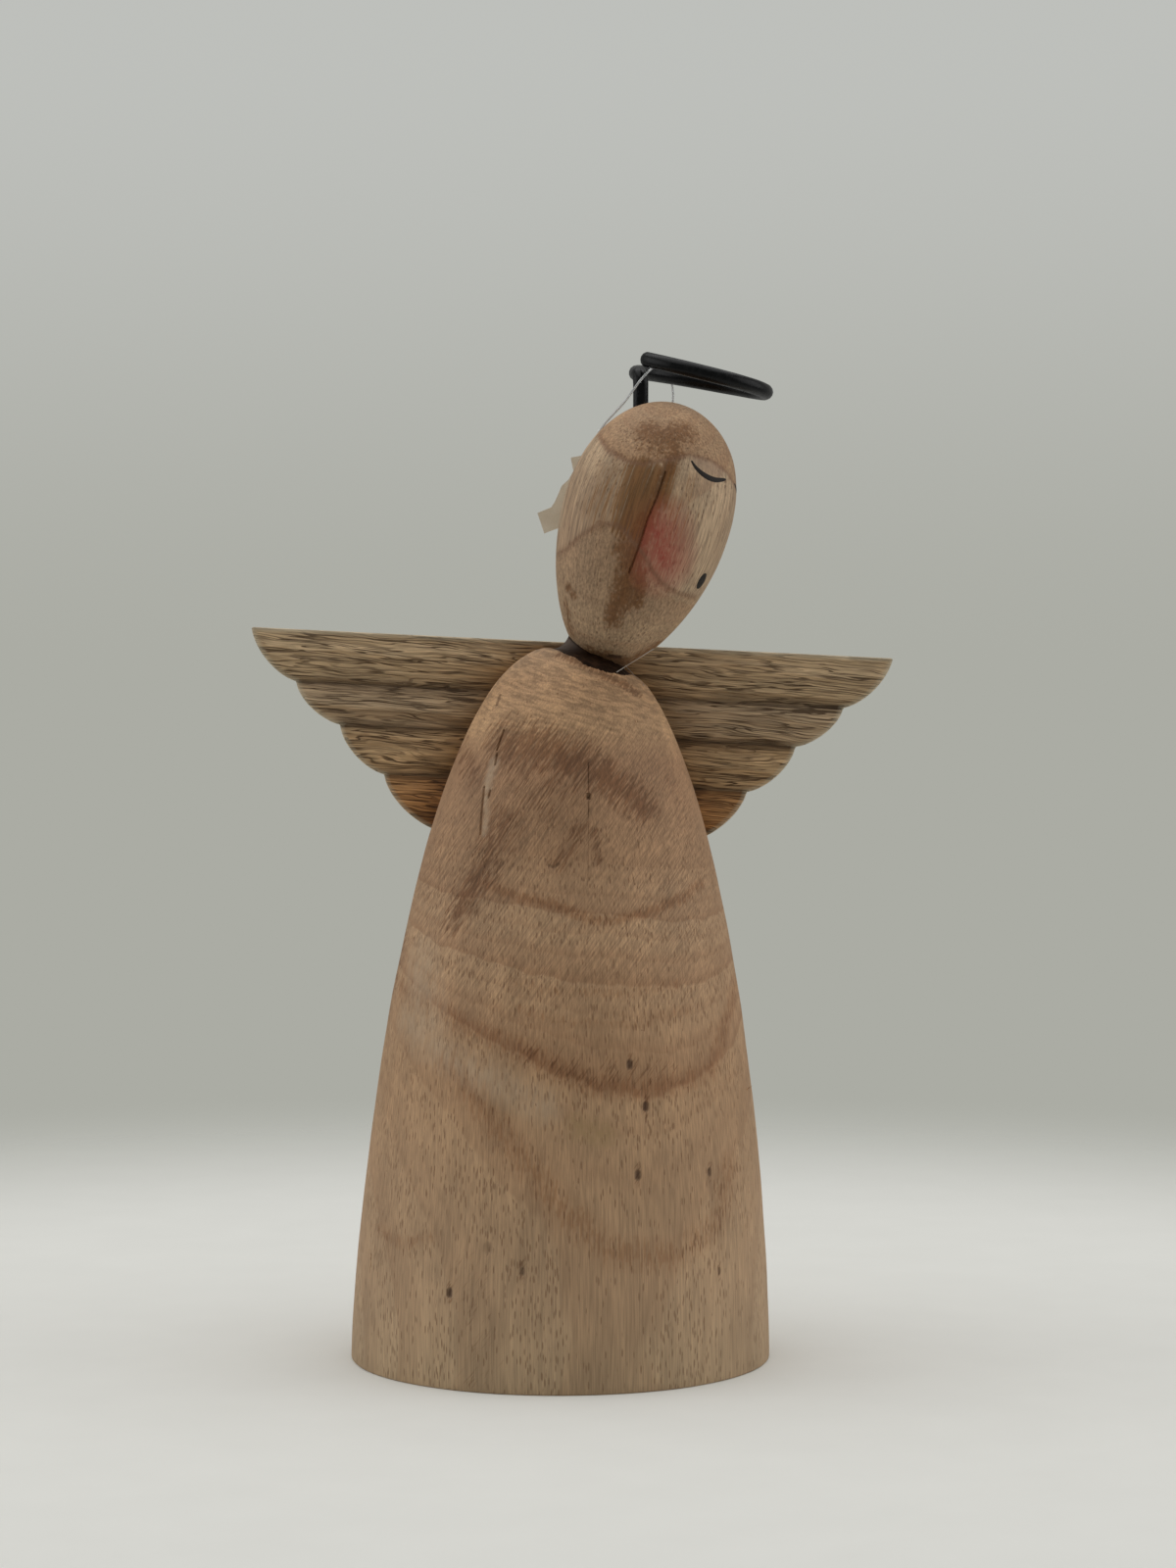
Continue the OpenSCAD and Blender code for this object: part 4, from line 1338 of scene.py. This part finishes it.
for vert in (part for part in back if isinstance(part, bmesh.types.BMVert)):
    vert.co.y = WING_BACK
    for name, share in (("groove", 0), ("shade", 0), ("rim", RIM_AT_BACK)):
        vert[wing_bm.verts.layers.float[name]] *= share
bmesh.ops.recalc_face_normals(wing_bm, faces=wing_bm.faces)
rim_edges = [edge for edge in wing_bm.edges if edge.is_manifold and edge.calc_face_angle() > SHARP_EDGE]
bmesh.ops.bevel(wing_bm, geom=rim_edges, offset=WING_ROUND, segments=WING_ROUND_STEPS, profile=0.5,
                affect="EDGES", material=-1)
set_down(wing_bm, on_wing)
wings = new_piece("carved_wings", wing_bm, wing_wood, "figure", "wing_wood", ["wing_board"])
brad_shanks = [round_cutter(BRAD_HOLE_D, OVERRUN / 2, WING_T + OVERRUN, place) for place in brad_places]
brad_seats = [round_cutter(BRAD_HEAD_D, -OVERRUN, BRAD_HEAD_T, place) for place in brad_places]
cut_out(wings, [*brad_shanks, *brad_seats])

# %% [markdown]
# ## The wire halo
# A black enamelled wire is bent into a ring that ends just over its own bend. Its path is a formula: a
# straight post, a quarter bend, and a ring that slopes and climbs by its own thickness in one turn. A curve
# with a round bevel follows the path, and shrinking the bevel over the last points rounds the cut end.

# %% Halo
HALO_D = 28.4
HALO_POST = 4.9
HALO_BEND_R = 2.5
HALO_GAP = 0.4
FAR_LIFT = 0.7
HALO_START = math.radians(13)
HALO_SWEEP = math.radians(350)
HALO_SLOPE = math.radians(11.7)
HALO_NOD = math.radians(3.4)
HALO_FOOT = 0.5 - HALO_DEPTH
HALO_SOCKET = -2
BEND_STEPS = 10
RING_STEPS = 150
END_STEPS = 6
END_TIP = 0.02
WIRE_DENT = 0.012
WIRE_DENT_LENGTH = 4

enamel, tree, shader, local = new_material("satin black enamel", on_post)
dust = clouds(tree, local, (1.2, 1.2, 1.2), 4)
black = mix(tree, ramp(tree, dust, 0.5, 0.8), (0.0025, 0.0028, 0.0032, 1), (0.007, 0.0072, 0.0075, 1))
fill(tree, shader, {"Base Color": black, "Roughness": ramp(tree, dust, 0.3, 0.8, 0.24, 0.42),
                    "Specular IOR Level": 0.16})
bumped(tree, shader, clouds(tree, local, (0.5, 0.5, 0.5)), 0.03)

ring_across = Vector((math.cos(HALO_SLOPE), 0, -math.sin(HALO_SLOPE)))
ring_back = Vector((0, math.cos(HALO_NOD), math.sin(HALO_NOD)))
ring_up = ring_across.cross(ring_back)
bend_way = Vector((-math.sin(HALO_START), math.cos(HALO_START), 0))


def bend_point(a):
    """Point of the bend between the post and the ring, at an angle from the post."""
    return HALO_BEND_R * (1 - math.cos(a)) * bend_way + Vector((0, 0, HALO_POST + HALO_BEND_R * math.sin(a)))


def ring_point(a):
    """Point of the ring at an angle from the bend."""
    out_by = math.cos(HALO_START) - math.cos(a - HALO_START)
    back_by = math.sin(a - HALO_START) + math.sin(HALO_START)
    climb = (WIRE_D + HALO_GAP) * a / (2 * math.pi) + FAR_LIFT * max(0, math.sin(a))
    level = HALO_D / 2 * (out_by * ring_across + back_by * ring_back)
    return bend_point(math.pi / 2) + level + climb * ring_up


halo_path = [Vector((0, 0, z)) for z in (HALO_FOOT, HALO_SOCKET, 0, HALO_POST / 2)]
halo_path += [bend_point(math.pi / 2 * k / BEND_STEPS) for k in range(BEND_STEPS)]
halo_path += [ring_point(HALO_SWEEP * k / RING_STEPS) for k in range(RING_STEPS)]
end_reach = WIRE_D / HALO_D
end_turns = [math.pi / 2 * k / END_STEPS for k in range(END_STEPS + 1)]
halo_end = [ring_point(HALO_SWEEP - end_reach * (1 - math.sin(a))) for a in end_turns]
halo_path = [p for p in halo_path if (p - halo_end[0]).length > WIRE_D / 8 or p.z < HALO_POST]
radii = [1 + WIRE_DENT * noise.noise(p / WIRE_DENT_LENGTH) for p in halo_path]
radii += [max(END_TIP, math.cos(a)) for a in end_turns]
print("halo points:", len(halo_path) + len(halo_end))


# %% Halo mesh
def tube(name, points, radius, radii, material, place=Matrix.Identity(4), **kept):
    """A solid tube along points in millimetres, as a plain mesh."""
    wire = wire_curve(name + "_line", [place @ (p * MM) for p in points], radius * MM, radii)
    mesh = bpy.data.meshes.new_from_object(wire.evaluated_get(bpy.context.evaluated_depsgraph_get()))
    bpy.data.objects.remove(wire)
    bm = bmesh.new()
    bm.from_mesh(mesh)
    bpy.data.meshes.remove(mesh)
    bmesh.ops.remove_doubles(bm, verts=bm.verts, dist=DOUBLES * MM)
    bmesh.ops.recalc_face_normals(bm, faces=bm.faces)
    new_piece(name, bm, material, **kept)


tube("wire_halo", halo_path + halo_end, WIRE_SHOWN_D / 2, radii, enamel, on_post, slot="black_wire",
     replaces=["halo"])

# %% [markdown]
# ## Glue at the neck
# Brown hot-melt glue squeezed out between the head and the body. It is thick on the low side of the tilted
# head, thin on the other, and a clear flap of it climbs the chin at the left. At the front it ran out over
# the rim of the body's flat. A simple section is spun into a collar first. Each vertex then moves to where
# the glue really ends at its angle round the neck.

# %% Glue finish
brown_glue, tree, shader, local = new_material("brown glue", on_neck)
lumps = clouds(tree, local, (1.6, 1.6, 1.6), 4)
melt = mix(tree, ramp(tree, lumps, 0.4, 0.75), (0.010, 0.004, 0.0015, 1), (0.036, 0.015, 0.006, 1))
fill(tree, shader, {"Base Color": mix(tree, mark(tree, "clear"), melt, (0.13, 0.098, 0.078, 1)),
                    "Roughness": ramp(tree, lumps, 0.3, 0.7, 0.45, 0.75), "Specular IOR Level": 0.1})
bumped(tree, shader, lumps, 0.25)

# %% Glue collar
GLUE_FOOT_R = 5.8
GLUE_TOP = 1
GLUE_SWELL = (1.7, 1)
GLUE_AT_FRONT = 5.6
FOOT_NOISE = (0.5, 3)
TOP_NOISE = (0.3, 4)
GLUE_LEAST = 0.1
FLAP_SIZE = (2.3, 1.6)
FLAP_SHARPNESS = 6
FLAP_CLEAR = 1.4
CLEAR_AT_FOOT = 0.4
GLUE_STEPS = 140
GLUE_ROWS = 8
GLUE_HOLLOW = 1.5
NEAR_TOP = 0.99


def chin_radius(h):
    """Radius of the egg at a height above the neck's flat."""
    z = h - NECK_GLUE_T - HEAD_FLAT
    angle = math.acos(z / (HEAD_LEN / 2))
    return egg_point(angle)[0]


def glue_ends(way):
    """Radius at which the glue ends on the body and height at which it ends on the chin, in a direction."""
    low_side = (1 - way.x) / 2
    flap = max(0, -way.x) ** FLAP_SHARPNESS
    foot = GLUE_FOOT_R + GLUE_SWELL[0] * low_side + FLAP_SIZE[0] * flap + GLUE_AT_FRONT * max(0, -way.y)
    foot += FOOT_NOISE[0] * noise.noise(way * FOOT_NOISE[1])
    top = GLUE_TOP + GLUE_SWELL[1] * low_side + FLAP_SIZE[1] * flap
    top += TOP_NOISE[0] * noise.noise(way * TOP_NOISE[1])
    return foot, max(top, NECK_GLUE_T + GLUE_LEAST), flap


outer = [(GLUE_FOOT_R + 1, GLUE_TOP * k / GLUE_ROWS) for k in range(GLUE_ROWS)]
inner = [(chin_radius(GLUE_TOP), GLUE_TOP), (chin_radius(NECK_GLUE_T), NECK_GLUE_T)]
section = [(DOWEL_BORE_D / 2, 0), *outer, *inner, (DOWEL_BORE_D / 2, NECK_GLUE_T)]
glue_bm = bmesh.new()
clear = glue_bm.verts.layers.float.new("clear")
rim = [glue_bm.verts.new((r, 0, z)) for r, z in section]
loop = rim + [glue_bm.edges.new(pair) for pair in zip(rim, rim[1:] + rim[:1])]
bmesh.ops.spin(glue_bm, geom=loop, cent=(0, 0, 0), axis=(0, 0, 1), angle=math.tau, steps=GLUE_STEPS,
               use_merge=True)
down = on_neck.to_3x3() @ Vector((0, 0, -1))
for vert in glue_bm.verts:
    way = Vector((vert.co.x, vert.co.y, 0)).normalized()
    foot, top, flap = glue_ends(way)
    up = vert.co.z / GLUE_TOP
    if vert.co.xy.length > GLUE_FOOT_R:
        radius = chin_radius(top) + (foot - chin_radius(top)) * (1 - up) ** GLUE_HOLLOW
        above = on_neck @ ((way * radius + Vector((0, 0, top))) * MM)
        seat = min(0, top - body_tree.ray_cast(above, down)[3] / MM)
        vert.co = way * radius + Vector((0, 0, seat + (top - seat) * up ** GLUE_HOLLOW))
        vert[clear] = clamped(flap * FLAP_CLEAR) * (CLEAR_AT_FOOT + (1 - CLEAR_AT_FOOT) * up)
    elif up > NEAR_TOP:
        vert.co = way * chin_radius(top) + Vector((0, 0, top))
bmesh.ops.recalc_face_normals(glue_bm, faces=glue_bm.faces)
set_down(glue_bm, on_neck)
new_piece("glue_collar", glue_bm, brown_glue, "figure", "brown_glue", ["neck_glue"])

# %% [markdown]
# Two pale strings of glue were pulled out as the gun was lifted, and one splinter stands off the body's edge.
# The strings are thin tubes between two places that the photograph shows. The splinter is a tube that tapers
# from one such place.

# %% Strings and splinter
STRINGS = {"glue_string_long": ((667, 662), (629, 686)), "glue_string_short": ((638, 679), (657, 700))}
STRING_D = 0.17
STRING_GAP = 4
STRING_STEPS = 12
STRING_END = 1.3
STRING_NECKING = 0.6
SPLINTER_ROOT = (762, 1112)
SPLINTER_WAY = Vector((1.6, 0.4, 1.2))
SPLINTER_D = 0.5
SPLINTER_STEPS = 6
SPLINTER_SUNK = 0.3
SPLINTER_TIP = 6.5

pale_glue, tree, shader, local = new_material("pale glue string", on_neck)
beads = clouds(tree, local, (0.6, 0.6, 0.6), 3)
fill(tree, shader, {"Base Color": mix(tree, beads, (0.36, 0.31, 0.26, 1), (0.52, 0.46, 0.4, 1)),
                    "Roughness": 0.35})
string_shares = [k / STRING_STEPS for k in range(STRING_STEPS + 1)]
string_radii = [STRING_END - STRING_NECKING * math.sin(math.pi * s) for s in string_shares]
for name, (start, end) in STRINGS.items():
    foot = seen_at(body_tree, *end)
    ray = ray_through(*start)
    top = CAMERA_PLACE + ray * ((foot.y - CAMERA_PLACE.y + STRING_GAP * MM) / ray.y)
    points = [foot.lerp(top, s) / MM for s in string_shares]
    tube(name, points, STRING_D / 2, string_radii, pale_glue, slot="brown_glue")
root = seen_at(body_tree, *SPLINTER_ROOT) / MM
splinter = [root + SPLINTER_WAY * (k / SPLINTER_STEPS - SPLINTER_SUNK) for k in range(SPLINTER_STEPS + 1)]
splinter_radii = [1 - k / SPLINTER_TIP for k in range(SPLINTER_STEPS + 1)]
tube("edge_splinter", splinter, SPLINTER_D / 2, splinter_radii, body_wood, slot="body_wood")

# %% [markdown]
# ## Hidden pieces
# The dowel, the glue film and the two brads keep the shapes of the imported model, because nothing of them but
# the brads' flat heads and the edge of the film ever shows. Each still gets a finish of its own.

# %% Dowel, film and brads
dowel_wood, tree, shader, local, colour, height = start_wood(
    "birch dowel", on_neck, (0.52, 0.4, 0.25, 1), (0.42, 0.29, 0.16, 1), (0.25, 0.16, 0.09, 1),
    ring_spacing=1.6, ring_start=0, wobble=0.5, fibre_size=(0.3, 0.3, 8), pore_size=(0.5, 0.5, 2),
    pore_share=0.2)
end_wood(tree, shader, colour, height, 0.1, 0.6)

wood_glue, tree, shader, local = new_material("dried wood glue", on_wing)
drips = clouds(tree, local, (2, 2, 2), 3)
fill(tree, shader, {"Base Color": mix(tree, drips, (0.16, 0.1, 0.05, 1), (0.3, 0.21, 0.12, 1)),
                    "Roughness": ramp(tree, drips, 0.2, 0.8, 0.25, 0.5)})
bumped(tree, shader, drips, 0.1)

brad_steel, tree, shader, local = new_material("dull steel", on_wing)
tarnish = clouds(tree, local, (0.9, 0.9, 0.9), 4)
fill(tree, shader, {"Base Color": mix(tree, tarnish, (0.36, 0.36, 0.35, 1), (0.2, 0.17, 0.14, 1)),
                    "Roughness": ramp(tree, tarnish, 0.3, 0.7, 0.3, 0.6), "Metallic": 1})
bumped(tree, shader, tarnish, 0.04)

for node, finish in (("neck_dowel", dowel_wood), ("wing_glue", wood_glue), ("wing_brads", brad_steel)):
    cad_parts[node].data.materials.clear()
    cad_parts[node].data.materials.append(finish)
    print(node, "is finished with", finish.name)

# %% [markdown]
# ## Floor, light and background
# The doll stands on pale paper in soft light from all round. The floor is a round sheet that fades out well
# behind the doll, so it never hides the view from another side, and the world behind it is a plain grey.
# Large area lights overhead and at both sides make the edges of the bell lighter than its middle.

# %% Floor
FLOOR_R = 750
FLOOR_SIDES = 96
FADE_START = 200
FADE_END = 500

paper_floor, tree, shader, local = new_material("pale floor paper", Matrix.Identity(4))
specks = clouds(tree, local, (20, 20, 20), 3)
off = put(tree, "VectorMath", {0: local}, operation="LENGTH").outputs["Value"]
fill(tree, shader, {"Base Color": mix(tree, specks, (0.79, 0.79, 0.75, 1), (0.83, 0.83, 0.79, 1)),
                    "Roughness": 0.8, "Alpha": ramp(tree, off, FADE_END, FADE_START)})
floor_bm = bmesh.new()
bmesh.ops.create_circle(floor_bm, cap_ends=True, segments=FLOOR_SIDES, radius=FLOOR_R * MM)
floor_mesh = bpy.data.meshes.new("floor")
floor_bm.to_mesh(floor_mesh)
floor_bm.free()
floor_mesh.materials.append(paper_floor)
floor = bpy.data.objects.new("floor", floor_mesh)
bpy.context.scene.collection.objects.link(floor)

# %% Light
WALL_LOW = (0.407, 0.412, 0.371, 1)
WALL_HIGH = (0.515, 0.525, 0.5, 1)
WALL_RISE = 0.19
ROOM_LIGHT = (0.26, 0.26, 0.25, 1)
LIGHTS = [("overhead", (0, 0.05, 0.95), 1.1, 5.6), ("left", (-0.9, -0.05, 0.4), 0.8, 2.4),
          ("right", (0.9, -0.05, 0.4), 0.8, 2.4)]
LIGHT_AIM = Vector((0, 0, 0.1))

world = bpy.data.worlds.new("soft grey room")
world.use_nodes = True
tree = world.node_tree
rise = put(tree, "SeparateXYZ", {0: put(tree, "TexCoord").outputs["Generated"]}).outputs["Z"]
wall = mix(tree, ramp(tree, rise, 0, WALL_RISE), WALL_LOW, WALL_HIGH)
seen = put(tree, "LightPath").outputs["Is Camera Ray"]
fill(tree, tree.nodes["Background"], {"Color": mix(tree, seen, ROOM_LIGHT, wall)})
bpy.context.scene.world = world
for name, spot, size, power in LIGHTS:
    data = bpy.data.lights.new(name, "AREA")
    data.size = size
    data.energy = power
    light = bpy.data.objects.new(name, data)
    light.location = spot
    light.rotation_euler = (LIGHT_AIM - light.location).to_track_quat("-Z", "Y").to_euler()
    light.visible_camera = False
    bpy.context.scene.collection.objects.link(light)
bpy.context.scene.view_settings.view_transform = "Standard"
print("lights:", [name for name, *_ in LIGHTS])
